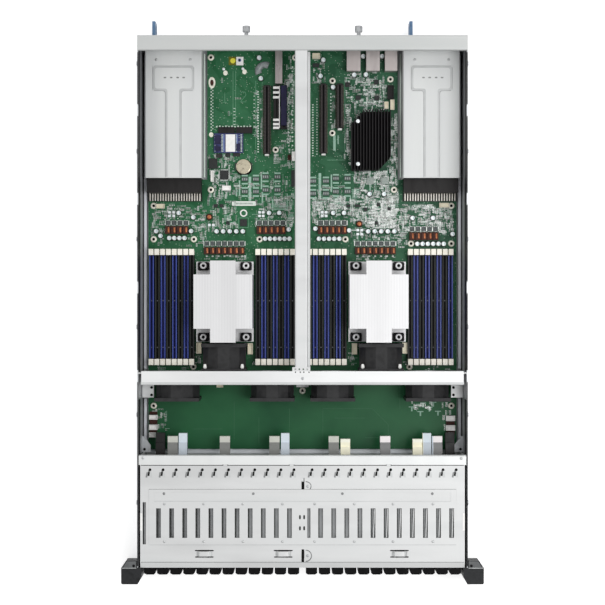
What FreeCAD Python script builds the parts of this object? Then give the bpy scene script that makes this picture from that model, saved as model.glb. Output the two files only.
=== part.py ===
import FreeCAD, Part
import math
import os

# Open two-unit rack storage server, in millimetres.
# X runs across the rack, Y from front to rear and Z up from the underside of the chassis floor.

# Sheet metal
sheet = 1.2
bend = 1.0
thin_sheet = 1.0
play = 0.3
overcut = 1.0
stud_sides = 6
standoff_sides = 6

# Drive bays and carriers
bays_per_side = 12
bay_pitch = 17.43
bay_first = 12.0
bay_side_gap = 3.6
bay_depth = 131.0
carrier_width = 15.2
carrier_height = 79.4
carrier_top_gap = 2.7
carrier_rear_gap = 3.0
bezel_reach = 9.0
bezel_depth = 13.0
bezel_corner = 1.4
drive_height = 69.8
drive_length = 100.2
drive_thickness = 14.8
lever_width = 10.6
lever_height = 60.0
lever_thickness = 3.2
lever_root = 1.6
button_height = 8.0
divider_thickness = 3.0
guide_thickness = 1.6
guide_height = 5.0

# Drive cage cover and beam
cage_gap = 2.8
cover_past = 5.8
cover_fold = 6.9
cover_fold_drop = 1.4
cover_step = 0.5
band_rear = 32.6
band_front = 48.6
panel_front = 106.4
band_margin = 11.5
slot_width = 6.3
slot_length = 39.4
slot_rear = 57.6
slot_shift = 5.3
narrow_slot_width = 4.4
narrow_slot_x = 8.4
lance_width = 1.8
lance_length = 9.5
lance_rear = 4.5
lance_slant = 2.4
bridge_slot_length = 24.0
bridge_slot_width = 1.6
bridge_slot_gap = 8.6
bridge_slot_front = 13.5
bridge_slot_places = (-130.6, -25.6, 129.0)
cleat_slot_x = 0.5
cleat_slot_width = 4.0
cleat_slot_length = 15.0
edge_slot_width = 4.2
edge_slot_length = 56.0
edge_slot_ahead = 8.0
beam_width = 12.9
beam_lip = 10.0
beam_end_gap = 0.8

# Backplane
backplane_thickness = 2.4
backplane_side_gap = 1.2
backplane_top_gap = 2.0
backplane_vent = (22.0, 14.0)
backplane_vent_drop = 22.0
plug_reach = 43.0
plug_rise = 34.0
plug_head_share = 0.7
plug_step_share = 0.2
plug_kinds = {
    "power": (12.2, 43.0, 15.0),
    "signal": (13.8, 38.5, 11.0),
    "sense": (11.4, 42.6, 13.0),
    "fan": (13.0, 34.7, 12.0),
}
plug_places = (
    ("power", -192.4), ("signal", -175.6), ("sense", -161.8), ("signal", -105.1),
    ("signal", -37.9), ("sense", -23.4), ("signal", 42.3), ("fan", 58.0), ("signal", 112.0),
    ("fan", 155.7), ("sense", 168.4), ("signal", 182.3), ("power", 199.4),
)

# Fans and fan wall
cable_bay = 44.0
fan_size = 60.0
fan_depth = 38.0
fan_rise = 3.4
fan_bore = 28.4
bore_sides = 12
fan_tip_gap = 0.9
fan_waist = 1.4
fan_flange = 4.6
fan_front_places = (40.6, 168.6)
fan_rear_place = 105.8
fan_blades = 5
fan_blade_thickness = 1.5
fan_blade_chord = 24.0
fan_blade_camber = 3.0
fan_blade_pitch = 38.0
hub_radius = 15.4
hub_front_gap = 3.0
hub_sides = 10
stator_depth = 3.0
strut_width = 2.6
shaft_radius = 1.5
bearing_radius = 1.8
running_gap = 0.4
bar_width = 18.3
bar_overhang = 1.9
bar_lip = 9.0
bar_end_gap = 4.3
wall_window = 54.0
wall_window_chamfer = 14.0
bracket_width = 17.0
bracket_length = 34.5
bracket_rise = 30.0
bracket_drop = 22.0
foot_width = 16.8
foot_reach = 23.0

# Main board
standoff_height = 6.0
standoff_radius = 3.0
board_thickness = 2.4
board_hole = 2.0
board_hole_gap = 14.0
near_hole_shift = 6.0
board_margin = 4.9
board_side_gap = 6.8
board_front_gap = 2.0
board_rear_gap = 8.0
board_neck_gap = 5.5

# Processors and memory
dimms_per_bank = 8
dimm_pitch = 7.9
dimm_width = 6.5
dimm_height = 11.5
dimm_length = 141.4
dimm_groove = 1.8
dimm_groove_depth = 8.0
bank_gap = 0.9
bank_edge = 2.07
processor_shift = -2.0
cooler_gap = 2.75
latch_length = 8.5
latch_width = 6.5
latch_height = 20.0
latch_pad = 8.0
latch_foot_length = 4.2
latch_foot_drop = 2.0
latch_pivot_rise = 3.4
latch_pivot_reach = 2.9
latch_room = 8.1
socket_inset = (1.2, 2.7)
socket_height = 4.6
processor_width = 56.5
processor_length = 77.5
processor_height = 7.0
heatsink_width = 78.4
heatsink_length = 109.4
heatsink_height = 63.0
heatsink_base = 5.0
heatsink_cap = 1.4
heatsink_gap = 1.9
heatsink_corner = (22.2, 18.5)
heatsink_fins = 12
fin_thickness = 0.6

# Power conversion on the board
choke_length = 9.8
bank_choke_length = 11.0
choke_width = 7.2
choke_pitch = 8.1
choke_height = 7.0
choke_gap = 10.3
bank_choke_gap = 20.9
chokes_per_processor = 7
chokes_per_bank = 5
chokes_per_short_bank = 4
choke_rows = (
    ("processor", -107.4, chokes_per_processor), ("processor", 100.0, chokes_per_processor),
    ("bank", -172.6, chokes_per_short_bank), ("bank", -43.1, chokes_per_bank),
    ("bank", 41.1, chokes_per_bank), ("near bank", 166.7, chokes_per_bank),
)
near_bank_shift = 8.4

# Chipset cooler, coin cell and sockets, placed from the rear edge of the chassis
chipset_x = 93.4
chipset_rear = 94.0
chipset_size = (54.0, 81.2)
chipset_corner = (16.5, 17.5)
chipset_height = 24.0
chipset_base = 3.0
chipset_fins = 14
chipset_fin_thickness = 1.3
chip_size = 30.0
chip_height = 2.5
cell_place = (-81.0, 169.3)
cell_radius = 10.0
cell_thickness = 3.2
cell_base = 1.4
cell_clip = 1.6
cell_sides = 32
card_slots = ((-48.8, 58.4, 94.2), (28.8, 56.0, 95.9), (51.2, 56.0, 61.3))
card_slot_width = 8.0
card_slot_height = 11.2
card_groove = 2.0
card_groove_depth = 8.5
module_socket_x = (-104.5, -80.2)
module_socket_rear = 115.0
module_socket_size = (22.4, 8.6, 5.0)
mezzanine_x = (-35.4, -25.6)
mezzanine_rear = 58.0
mezzanine_size = (8.4, 60.0, 9.0)

# Rear jacks and card guide
jack_places = ((69.9, 18.6), (96.4, 18.4), (121.2, 16.8))
jack_depth = 38.5
jack_height = 15.8
jack_wall = 1.6
jack_mouth_depth = 14.0
jack_proud = 0.5
guide_bar_x = -32.5
guide_bar_width = 9.6
guide_bar_length = 46.0
guide_bar_height = 13.0
guide_bar_rear = 10.2

# Power supplies and their cages
psu_width = 74.6
psu_height = 40.6
psu_length = 186.1
psu_proud = 0.6
psu_gap = 1.5
psu_side_gap = 5.1
psu_socket_depth = 19.0
psu_socket_height = 24.0
psu_pin_length = 11.0
psu_pin_height = 3.0
psu_tongue = (58.0, 9.0, 1.6)
psu_tongue_rise = 13.0
psu_vents = 8
psu_vent_width = 3.0
psu_vent_height = 26.0
psu_vent_depth = 2.0
inlet_width = 27.0
inlet_height = 20.0
inlet_depth = 17.0
inlet_wall = 5.0
emboss_height = 1.2
emboss_width = 55.0
emboss_length = 33.0
emboss_rear = 35.6
emboss_stem = 20.9
open_board = 34.0

# Power supply latch
latch_lever_reach = 27.0
latch_lever_thickness = 4.4
latch_lever_height = 25.0
latch_lever_rise = 8.0
latch_lever_inset = 10.0
latch_barrel = 2.3
latch_ear_thickness = 2.5
latch_window = (12.0, 14.0)

# Rear panel, bridge and brace
rear_flange = 12.0
bracket_window = (12.4, 64.0)
bracket_plate = (18.4, 79.0)
bracket_window_rise = 13.0
card_bracket_thickness = 0.9
vent_slot = (6.4, 28.0)
vent_pitch = 11.0
vent_top_gap = 9.0
vents_over_psu = 5
vents_over_board = 4
vent_place = 104.0
bridge_depth = 20.5
bridge_rear_lip = 8.0
bridge_front_lip = 5.0
brace_width = 17.0
brace_depth = 12.0
brace_shift = -1.6
brace_flange = 3.4
brace_foot_width = 24.0
brace_foot_length = 5.4
brace_hole = 1.8
brace_holes = 4
brace_hole_pitch = 5.3
thumb_x = 75.3
thumb_rise = 68.0
thumb_radius = 5.0
thumb_length = 8.3
thumb_neck_radius = 2.8
thumb_neck_length = 7.7
thumb_sides = 12

# Rack ears, rail studs and power button
ear_flange = 21.3
ear_reach = 22.0
ear_clear = 2.7
ear_bottom = 0.5
ear_chamfer = (5.4, 9.6)
ear_corner = 1.5
ear_plate = 3.0
ear_strap = 1.5
ear_strap_length = 27.0
ear_strap_rise = 20.0
ear_strap_height = 46.0
gusset_depth = 9.3
gusset_taper = 5.0
gusset_inset = 1.6
gusset_height = 12.0
rack_hole_edge = 8.75
rack_hole_spacing = 44.45
rack_hole_radius = 3.5
rack_well_radius = 6.4
button_radius = 4.0
button_length = 8.0
button_recess = 0.4
button_travel = 1.5
button_inset = 15.0
button_play = 0.2
stud_radius = 3.2
stud_height = 2.2
stud_count = 6
stud_pitch = 119.0
stud_inset = 32.0
stud_rise = 44.0
hook_notch = (16.0, 4.0)
hook_count = 4
hook_pitch = 118.0
hook_inset = 92.0

# Levels that follow from the sizes above
z_floor = sheet
z_tray = z_floor + thin_sheet
z_carrier = z_tray + play
z_board = z_floor + standoff_height
z_top = z_board + board_thickness
z_fan = z_top + fan_rise
z_over_carriers = z_carrier + carrier_height + carrier_top_gap
z_over_fans = z_fan + fan_size + play + bar_lip - sheet
z_cover = max(z_over_carriers, z_over_fans)
z_lid = z_cover + sheet
chassis_height = z_lid + sheet
ear_height = chassis_height - 2 * ear_bottom

# Widths from the middle outwards
dimm_first = heatsink_width / 2 + cooler_gap + dimm_width / 2
cage_inner = bay_first + (bays_per_side - 1) * bay_pitch + carrier_width / 2 + bay_side_gap
cage_half = cage_inner + thin_sheet
module_half = dimm_first + (dimms_per_bank - 1) * dimm_pitch + dimm_width / 2
cpu_x = module_half + bank_gap / 2
board_need = cpu_x + module_half + abs(processor_shift) + bank_edge
x_inner = max(board_need + board_side_gap, cage_half + cage_gap)
board_half = x_inner - board_side_gap
x_outer = x_inner + sheet
psu_cage_width = psu_width + 2 * play + 2 * thin_sheet
psu_x = x_inner - psu_side_gap - psu_cage_width / 2
psu_inner_edge = psu_x - psu_cage_width / 2
neck_half = psu_inner_edge - board_neck_gap

# Lengths from the front edge of the chassis backwards
front_to_wall = bay_depth + backplane_thickness + plug_reach + cable_bay + fan_depth + sheet
wall_to_banks = latch_room + 2 * latch_length + dimm_length
banks_to_psu = bank_choke_gap + bank_choke_length + open_board + psu_pin_length + psu_socket_depth
chassis_depth = front_to_wall + wall_to_banks + banks_to_psu + psu_gap + psu_length - psu_proud
y_front = ear_reach - (ear_reach + chassis_depth + latch_lever_reach) / 2
y_rear = y_front + chassis_depth
y_backplane = y_front + bay_depth
y_cover = y_backplane + cover_past
y_beam = y_cover + beam_width
y_wall = y_front + front_to_wall
y_dimm_front = y_wall + latch_room + latch_length
y_dimm_rear = y_dimm_front + dimm_length
y_heatsink = y_wall + fan_depth + heatsink_gap
y_heatsink_rear = y_heatsink + heatsink_length
y_bank_choke = y_dimm_rear + latch_length + bank_choke_gap
y_pins = y_bank_choke + bank_choke_length + open_board
y_socket = y_pins + psu_pin_length
y_psu = y_socket + psu_socket_depth + psu_gap
y_psu_rear = y_psu + psu_length
y_panel = y_rear - sheet
y_board_front = y_beam + board_front_gap
y_board_rear = y_panel - board_rear_gap

along_x = FreeCAD.Vector(1, 0, 0)
along_y = FreeCAD.Vector(0, 1, 0)
along_z = FreeCAD.Vector(0, 0, 1)
origin = FreeCAD.Vector(0, 0, 0)


def block(x0, x1, y0, y1, z0, z1):
    """Box between two opposite corners."""
    return Part.makeBox(x1 - x0, y1 - y0, z1 - z0, FreeCAD.Vector(x0, y0, z0))


def plate(x, width, y0, y1, z0, z1):
    """Box centred on x."""
    return block(x - width / 2, x + width / 2, y0, y1, z0, z1)


def prism(points, path):
    """Closed outline carried along a vector."""
    return Part.Face(Part.makePolygon(points + points[:1])).extrude(path)


def plan(outline, z0, z1):
    """Outline in X and Y, raised from z0 to z1."""
    points = [FreeCAD.Vector(x, y, z0) for x, y in outline]
    return prism(points, along_z * (z1 - z0))


def side(outline, x, width):
    """Outline in Y and Z, carried across X and centred on x."""
    points = [FreeCAD.Vector(x - width / 2, y, z) for y, z in outline]
    return prism(points, along_x * width)


def front(outline, y0, y1):
    """Outline in X and Z, carried from y0 to y1."""
    points = [FreeCAD.Vector(x, y0, z) for x, z in outline]
    return prism(points, along_y * (y1 - y0))


def rounded_path(points, radii):
    """Edges along the points, with an arc of the given radius at each inner point."""
    edges = []
    start = points[0]
    for index, radius in enumerate(radii, 1):
        corner = points[index]
        back = (points[index - 1] - corner).normalize()
        ahead = (points[index + 1] - corner).normalize()
        half = back.getAngle(ahead) / 2
        reach = radius / math.tan(half)
        middle = (back + ahead).normalize() * (radius / math.sin(half) - radius)
        edges.append(Part.LineSegment(start, corner + back * reach).toShape())
        edges.append(Part.Arc(corner + back * reach, corner + middle, corner + ahead * reach).toShape())
        start = corner + ahead * reach
    edges.append(Part.LineSegment(start, points[-1]).toShape())
    return edges


def folded(points, path, thickness):
    """Folded sheet: an open line with rounded bends, thickened to its left and carried along path."""
    unit = FreeCAD.Vector(path).normalize()
    steps = [(b - a).normalize() for a, b in zip(points, points[1:])]
    lefts = [unit.cross(step) for step in steps]
    far = [points[0] + lefts[0] * thickness]
    near_radii = []
    far_radii = []
    for index in range(1, len(points) - 1):
        first = lefts[index - 1]
        second = lefts[index]
        far.append(points[index] + (first + second) * (thickness / (1 + first.dot(second))))
        inside = unit.dot(steps[index - 1].cross(steps[index])) > 0
        near_radii.append(bend + thickness if inside else bend)
        far_radii.append(bend if inside else bend + thickness)
    far.append(points[-1] + lefts[-1] * thickness)
    edges = rounded_path(points, near_radii)
    edges.append(Part.LineSegment(points[-1], far[-1]).toShape())
    edges += rounded_path(far[::-1], far_radii[::-1])
    edges.append(Part.LineSegment(far[0], points[0]).toShape())
    return Part.Face(Part.Wire(edges)).extrude(path)


def folded_front(outline, y0, y1, thickness):
    """Folded sheet whose section lies in X and Z."""
    points = [FreeCAD.Vector(x, y0, z) for x, z in outline]
    return folded(points, along_y * (y1 - y0), thickness)


def folded_side(outline, x0, x1, thickness):
    """Folded sheet whose section lies in Y and Z."""
    points = [FreeCAD.Vector(x0, y, z) for y, z in outline]
    return folded(points, along_x * (x1 - x0), thickness)


def folded_plan(outline, z0, z1, thickness):
    """Folded sheet whose section lies in X and Y."""
    points = [FreeCAD.Vector(x, y, z0) for x, y in outline]
    return folded(points, along_z * (z1 - z0), thickness)


def pin(x, y, z, radius, length, axis):
    """Round pin from a centre along an axis."""
    return Part.makeCylinder(radius, length, FreeCAD.Vector(x, y, z), axis)


def many_sided(x, y, z, radius, length, axis, sides):
    """Prism with a regular outline around an axis."""
    across = along_x if axis is not along_x else along_y
    up = axis.cross(across)
    centre = FreeCAD.Vector(x, y, z)
    points = []
    for index in range(sides):
        turn = math.pi * (2 * index + 1) / sides
        points.append(centre + (across * math.cos(turn) + up * math.sin(turn)) * radius)
    return prism(points, axis * length)


def join(first, *others):
    """One solid from pieces that meet."""
    return first.fuse(list(others)).removeSplitter()


def mirrored(shape):
    """The same piece on the other side of the chassis."""
    return shape.mirror(origin, along_x)


def both_sides(shape):
    """A piece and its mirror image."""
    return [shape, mirrored(shape)]


def bay_x(index):
    """Centre of a drive bay, counted from the left."""
    if index < bays_per_side:
        return -(bay_first + (bays_per_side - 1 - index) * bay_pitch)
    return bay_first + (index - bays_per_side) * bay_pitch


def cpu_places():
    """Centres of the two processors in X."""
    return (processor_shift - cpu_x, processor_shift + cpu_x)


def dimm_places():
    """Centre of each memory socket with its place in the bank, for the two processors."""
    places = []
    for cpu in cpu_places():
        for slot in range(dimms_per_bank):
            offset = dimm_first + slot * dimm_pitch
            places.append((cpu - offset, slot))
            places.append((cpu + offset, slot))
    return places


def fan_places():
    """Fan centres in X with the front face of each fan."""
    ahead = y_wall - sheet - fan_depth
    outer = max(fan_front_places)
    inner = min(fan_front_places)
    return (
        (-outer, ahead), (-fan_rear_place, y_wall), (-inner, ahead),
        (inner, ahead), (fan_rear_place, y_wall), (outer, ahead),
    )


def board_holes():
    """Screw places of the main board."""
    beside_banks = cpu_x + dimm_first + (dimms_per_bank - 1) * dimm_pitch
    y_banks = y_dimm_rear + latch_length + board_hole_gap
    places = []
    for sign, shift in ((-1, 0), (1, near_hole_shift)):
        for x in (beside_banks, cpu_x + dimm_first):
            places.append((sign * x, y_banks - shift))
        places.append((sign * (cpu_x - dimm_first), y_banks))
        places.append((sign * beside_banks, y_pins - 2 * standoff_radius))
        places.append((sign * (neck_half - board_margin), y_socket + board_margin))
        places.append((sign * (neck_half - board_margin), y_board_rear - 2 * board_margin))
        places.append((sign * beside_banks, y_wall - sheet - fan_depth - 2 * board_margin))
    places.append((0.0, y_wall - foot_reach - board_margin))
    places.append((-cell_radius, y_board_rear - 2 * board_margin))
    return places


def base_pan():
    """Floor and side walls folded from one sheet, with pressed standoffs and rail studs."""
    section = [(x_outer, z_lid), (x_outer, 0), (-x_outer, 0), (-x_outer, z_lid)]
    pan = folded_front(section, y_front, y_rear, sheet)
    studs = []
    for index in range(stud_count):
        y = y_rear - stud_inset - index * stud_pitch
        length = sheet + stud_height
        stud = many_sided(x_inner, y, stud_rise, stud_radius, length, along_x, stud_sides)
        studs += both_sides(stud)
    for x, y in board_holes():
        studs.append(many_sided(x, y, z_floor, standoff_radius, standoff_height, along_z, standoff_sides))
    notches = []
    long, deep = hook_notch
    for index in range(hook_count):
        y = y_rear - hook_inset - index * hook_pitch
        notch = block(x_inner - overcut, x_outer + overcut, y - long, y, z_lid - deep, z_lid + overcut)
        notches += both_sides(notch)
    return join(pan, *studs).cut(notches)


def rear_panel():
    """Rear wall with side flanges and openings, and the blank card brackets behind its windows."""
    inner = y_panel - rear_flange
    section = [(x_inner, inner), (x_inner, y_panel), (-x_inner, y_panel), (-x_inner, inner)]
    wall = folded_plan(section, z_floor + bend, z_lid - bend, sheet)
    back = y_panel - sheet
    y0 = back - overcut
    y1 = y_panel + overcut
    openings = []
    brackets = []
    psu_top = z_floor + play + psu_height + play
    vent_top = z_lid - vent_top_gap
    for sign in (-1, 1):
        openings.append(plate(sign * psu_x, psu_width + 2 * play, y0, y1, z_floor - overcut, psu_top))
        for index in range(vents_over_psu):
            x = sign * psu_x + (index - (vents_over_psu - 1) / 2) * vent_pitch
            openings.append(plate(x, vent_slot[0], y0, y1, vent_top - vent_slot[1], vent_top))
        for index in range(vents_over_board):
            x = sign * vent_place + (index - (vents_over_board - 1) / 2) * vent_pitch
            openings.append(plate(x, vent_slot[0], y0, y1, vent_top - vent_slot[1], vent_top))
        radius = thumb_neck_radius + play
        openings.append(many_sided(sign * thumb_x, y0, thumb_rise, radius, y1 - y0, along_y, thumb_sides))
    for x, width in jack_places:
        openings.append(plate(x, width + 2 * play, y0, y1, z_top - play, z_top + jack_height + play))
    low = z_floor + bracket_window_rise
    wide, high = bracket_plate
    for x, rear, length in card_slots:
        openings.append(plate(x, bracket_window[0], y0, y1, low, low + bracket_window[1]))
        brackets.append(plate(x, wide, back - card_bracket_thickness, back, z_floor, z_floor + high))
    return [wall.cut(openings)] + brackets


def rear_bridge():
    """Folded cap over the rear edge, resting on the side walls."""
    y0 = y_rear - bridge_depth
    section = [
        (y0, z_lid - bridge_front_lip), (y0, chassis_height),
        (y_rear, chassis_height), (y_rear, z_lid - bridge_rear_lip),
    ]
    cap = folded_side(section[::-1], -x_outer, x_outer, sheet)
    for sign in (-1, 1):
        edge = sign * (x_outer + x_inner) / 2
        cap = cap.cut(plate(edge, sheet, y0 - overcut, y_rear + overcut, 0, z_lid))
    return cap


def centre_brace():
    """Inverted channel from the bridge to the fan bar, with one side flange and a wide foot."""
    left = brace_shift - brace_width / 2
    right = brace_shift + brace_width / 2
    low = z_lid - brace_depth
    section = [(left, low), (left, z_lid), (right, z_lid), (right, low), (right + brace_flange, low)]
    y0 = y_wall + bar_overhang
    channel = folded_front(section, y0, y_rear - bridge_depth, sheet)
    foot = plate(brace_shift, brace_foot_width, y0, y0 + brace_foot_length, z_lid - sheet, z_lid)
    brace = join(channel, foot)
    holes = []
    y = y0 + (brace_foot_length - brace_hole) / 2
    for index in range(brace_holes):
        x = brace_shift + (index - (brace_holes - 1) / 2) * brace_hole_pitch
        holes.append(plate(x, brace_hole, y, y + brace_hole, z_cover - overcut, z_lid + overcut))
    return brace.cut(holes)


def chamfered_square(x, z, size, chamfer):
    """Square outline with cut corners around a centre in X and Z."""
    half = size / 2
    cut = half - chamfer
    return [
        (x - half, z - cut), (x - cut, z - half), (x + cut, z - half), (x + half, z - cut),
        (x + half, z + cut), (x + cut, z + half), (x - cut, z + half), (x - half, z + cut),
    ]


def fan_wall():
    """Upright fan plate with a folded top bar, end brackets on the side walls and a centre foot."""
    upright = block(-x_inner, x_inner, y_wall - sheet, y_wall, z_fan, z_lid - sheet)
    y_bar_rear = y_wall + bar_overhang
    y_bar_front = y_bar_rear - bar_width
    bar_half = x_inner - bar_end_gap
    bar = folded_side(
        [(y_bar_rear, z_lid), (y_bar_front, z_lid), (y_bar_front, z_lid - bar_lip)],
        -bar_half, bar_half, sheet,
    )
    leg = plate(0, foot_width, y_wall - sheet, y_wall, z_top, z_fan)
    foot = plate(0, foot_width, y_wall - foot_reach, y_wall, z_top, z_top + sheet)
    high = z_top + bracket_rise
    bracket = folded_front(
        [(x_inner - bracket_width, high), (x_inner, high), (x_inner, high - bracket_drop)],
        y_wall - sheet - bracket_length, y_wall - sheet, sheet,
    )
    wall = join(upright, bar, leg, foot, bracket, mirrored(bracket))
    windows = []
    for x, y in fan_places():
        outline = chamfered_square(x, z_fan + fan_size / 2, wall_window, wall_window_chamfer)
        windows.append(front(outline, y_wall - 2 * sheet, y_wall + sheet))
    return wall.cut(windows)


def drive_cage():
    """Cage tray with side plates, middle divider, rear beam and guide strips, one welded piece."""
    section = [(cage_half, z_cover), (cage_half, z_floor), (-cage_half, z_floor), (-cage_half, z_cover)]
    tray = folded_front(section, y_front, y_beam, thin_sheet)
    divider = plate(0, divider_thickness, y_front, y_backplane - play, z_tray, z_cover)
    beam_half = x_inner - beam_end_gap
    beam = folded_side(
        [(y_beam, z_lid - beam_lip), (y_beam, z_lid), (y_cover, z_lid)], -beam_half, beam_half, sheet,
    )
    guides = []
    start = y_front + bezel_depth - bezel_reach + carrier_rear_gap
    stop = y_backplane - carrier_rear_gap
    for index in range(2 * bays_per_side - 1):
        middle = (bay_x(index) + bay_x(index + 1)) / 2
        if index != bays_per_side - 1:
            guides.append(plate(middle, guide_thickness, start, stop, z_tray, z_tray + guide_height))
    fold = [(y_front + cover_fold, z_cover), (y_front, z_cover - cover_fold_drop), (y_front, z_cover)]
    room = side(fold, 0, 2 * cage_half + overcut)
    return join(tray, divider, beam, *guides).cut(room)


def cage_cover():
    """Slotted sheet over the drive bays with a raised panel and a folded front edge."""
    y_fold = y_front + cover_fold
    low = z_lid - cover_fold_drop
    outline = [
        (y_cover, z_cover), (y_cover, z_lid), (y_fold, z_lid), (y_front, low),
        (y_front, low - sheet), (y_fold, z_cover),
    ]
    cover = side(outline, 0, 2 * cage_half)
    panel_half = cage_half - band_margin
    y_band = y_cover - band_rear
    panel = block(-panel_half, panel_half, y_cover - panel_front, y_band, z_lid, z_lid + cover_step)
    groove_rear = y_band - cover_fold / 2
    groove = block(
        -panel_half + cover_fold, panel_half - cover_fold, y_cover - band_front, groove_rear,
        z_lid, z_lid + 2 * cover_step,
    )
    cover = join(cover, panel.cut(groove))
    cuts = []
    z0 = z_cover - overcut
    z1 = z_lid + overcut
    y_slot = y_cover - slot_rear
    for index in range(1, 2 * bays_per_side):
        if index != bays_per_side:
            x = bay_x(index) - slot_shift
            cuts.append(plate(x, slot_width, y_slot - slot_length, y_slot, z0, z1))
    cuts.append(plate(narrow_slot_x, narrow_slot_width, y_slot - slot_length, y_slot, z0, z1))
    for index in range(2 * bays_per_side):
        x = bay_x(index)
        y = y_cover - lance_rear
        lance = [
            (x, y), (x + lance_width, y), (x + lance_width - lance_slant, y - lance_length),
            (x - lance_slant, y - lance_length),
        ]
        cuts.append(plan(lance, z0, z1))
    for x in bridge_slot_places:
        for gap in (0, bridge_slot_gap):
            y = y_front + bridge_slot_front + gap
            cuts.append(plate(x, bridge_slot_length, y, y + bridge_slot_width, z0, z1))
    for y in (y_fold + play, y_band + play):
        cuts.append(plate(cleat_slot_x, cleat_slot_width, y, y + cleat_slot_length, z0, z1))
    x = -cage_half + edge_slot_width + sheet
    y = y_slot + edge_slot_ahead
    cuts.append(plate(x, edge_slot_width, y - edge_slot_length, y, z0, z1))
    return cover.cut(cuts)


def backplane():
    """Drive backplane standing on the cage tray, with air windows."""
    half = cage_inner - backplane_side_gap
    y1 = y_backplane + backplane_thickness
    board = block(-half, half, y_backplane, y1, z_tray, z_cover - backplane_top_gap)
    windows = []
    width, height = backplane_vent
    top = z_cover - backplane_vent_drop + height / 2
    for index in range(0, 2 * bays_per_side, 2):
        x = (bay_x(index) + bay_x(index + 1)) / 2
        windows.append(plate(x, width, y_backplane - overcut, y1 + overcut, top - height, top))
    return board.cut(windows)


def backplane_plugs():
    """Cable connectors on the rear face of the backplane, stepped down towards their mouths."""
    plugs = []
    y = y_backplane + backplane_thickness
    for kind, x in plug_places:
        width, reach, height = plug_kinds[kind]
        low = z_top + plug_rise - height / 2
        high = low + height
        step = plug_step_share * height
        head = plug_head_share * reach
        outline = [
            (y, low), (y + reach, low), (y + reach, high - step), (y + head, high - step),
            (y + head, high), (y, high),
        ]
        plugs.append(side(outline, x, width))
    return plugs


def main_board():
    """Main board: full width in front of the power supplies, a neck between them, and screw holes."""
    shoulder = y_socket + psu_socket_depth
    outline = [
        (-board_half, y_board_front), (board_half, y_board_front), (board_half, shoulder),
        (neck_half, shoulder), (neck_half, y_board_rear), (-neck_half, y_board_rear),
        (-neck_half, shoulder), (-board_half, shoulder),
    ]
    board = plan(outline, z_board, z_top)
    depth = board_thickness + 2 * overcut
    holes = []
    for x, y in board_holes():
        holes.append(many_sided(x, y, z_board - overcut, board_hole, depth, along_z, standoff_sides))
    return board.cut(holes)


def cpu_sockets():
    """Socket frames with the processor packages inside them."""
    pieces = []
    middle = y_heatsink + heatsink_length / 2
    inset_x, inset_y = socket_inset
    reach = heatsink_length / 2 - inset_y
    half = processor_length / 2
    high = z_top + socket_height
    for x in cpu_places():
        frame = plate(x, heatsink_width - 2 * inset_x, middle - reach, middle + reach, z_top, high)
        chip = plate(x, processor_width, middle - half, middle + half, z_top, z_top + processor_height)
        y0 = middle - half - play
        y1 = middle + half + play
        well = plate(x, processor_width + 2 * play, y0, y1, z_top - overcut, high + overcut)
        pieces += [frame.cut(well), chip]
    return pieces


def comb(x, width, fins, thickness, base, height, z0):
    """Outline of a finned block in X and Z: a base with upright fins, evenly spaced."""
    pitch = (width - thickness) / (fins - 1)
    left = x - width / 2
    outline = [(left, z0)]
    for index in range(fins):
        fin = left + index * pitch
        outline += [(fin, z0 + height), (fin + thickness, z0 + height)]
        if index < fins - 1:
            outline += [(fin + thickness, z0 + base), (fin + pitch, z0 + base)]
    outline.append((left + width, z0))
    return outline


def cpu_heatsinks():
    """Finned coolers with cut-away corners for their screws and a closed top plate."""
    coolers = []
    z0 = z_top + processor_height
    corner_x, corner_y = heatsink_corner
    for x in cpu_places():
        outline = comb(x, heatsink_width, heatsink_fins, fin_thickness, heatsink_base, heatsink_height, z0)
        fins = front(outline, y_heatsink, y_heatsink_rear)
        high = z0 + heatsink_height
        cap = plate(x, heatsink_width, y_heatsink, y_heatsink_rear, high, high + heatsink_cap)
        cooler = join(fins, cap)
        corners = []
        for sign in (-1, 1):
            edge = x + sign * (heatsink_width - corner_x) / 2
            for y in (y_heatsink, y_heatsink_rear - corner_y):
                corner = plate(edge, corner_x, y, y + corner_y, z0 + heatsink_base, high + heatsink_cap)
                corners.append(corner)
        coolers.append(cooler.cut(corners))
    return coolers


def dimm_socket(x):
    """Memory socket: a bar with a groove along its top."""
    half = dimm_width / 2
    slot = dimm_groove / 2
    high = z_top + dimm_height
    low = high - dimm_groove_depth
    section = [
        (x - half, z_top), (x + half, z_top), (x + half, high), (x + slot, high),
        (x + slot, low), (x - slot, low), (x - slot, high), (x - half, high),
    ]
    return front(section, y_dimm_front, y_dimm_rear)


def dimm_sockets(blue):
    """The memory sockets of one colour; the two colours alternate along each bank."""
    return [dimm_socket(x) for x, order in dimm_places() if (order % 2 == 1) == blue]


def dimm_latch(x, end, out):
    """Latch at one end of a memory socket: a narrow foot that widens to a thumb pad."""
    foot = latch_pivot_reach - latch_foot_length / 2
    low = z_top + latch_pivot_rise - latch_foot_drop
    section = [
        (end + out * foot, low),
        (end + out * (foot + latch_foot_length), low),
        (end + out * latch_length, z_top + latch_height),
        (end + out * play, z_top + latch_height),
        (end + out * play, z_top + latch_pad),
    ]
    return side(section, x, latch_width)


def dimm_latches(rear):
    """All the memory latches at one end of the banks."""
    end = y_dimm_rear if rear else y_dimm_front
    out = 1 if rear else -1
    return [dimm_latch(x, end, out) for x, order in dimm_places()]


def grooved_bar(x, width, y0, y1, height, groove, depth):
    """Card connector: a bar with a groove along its top, closed at both ends."""
    high = z_top + height
    bar = plate(x, width, y0, y1, z_top, high)
    return bar.cut(plate(x, groove, y0 + groove, y1 - groove, high - depth, high + overcut))


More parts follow.
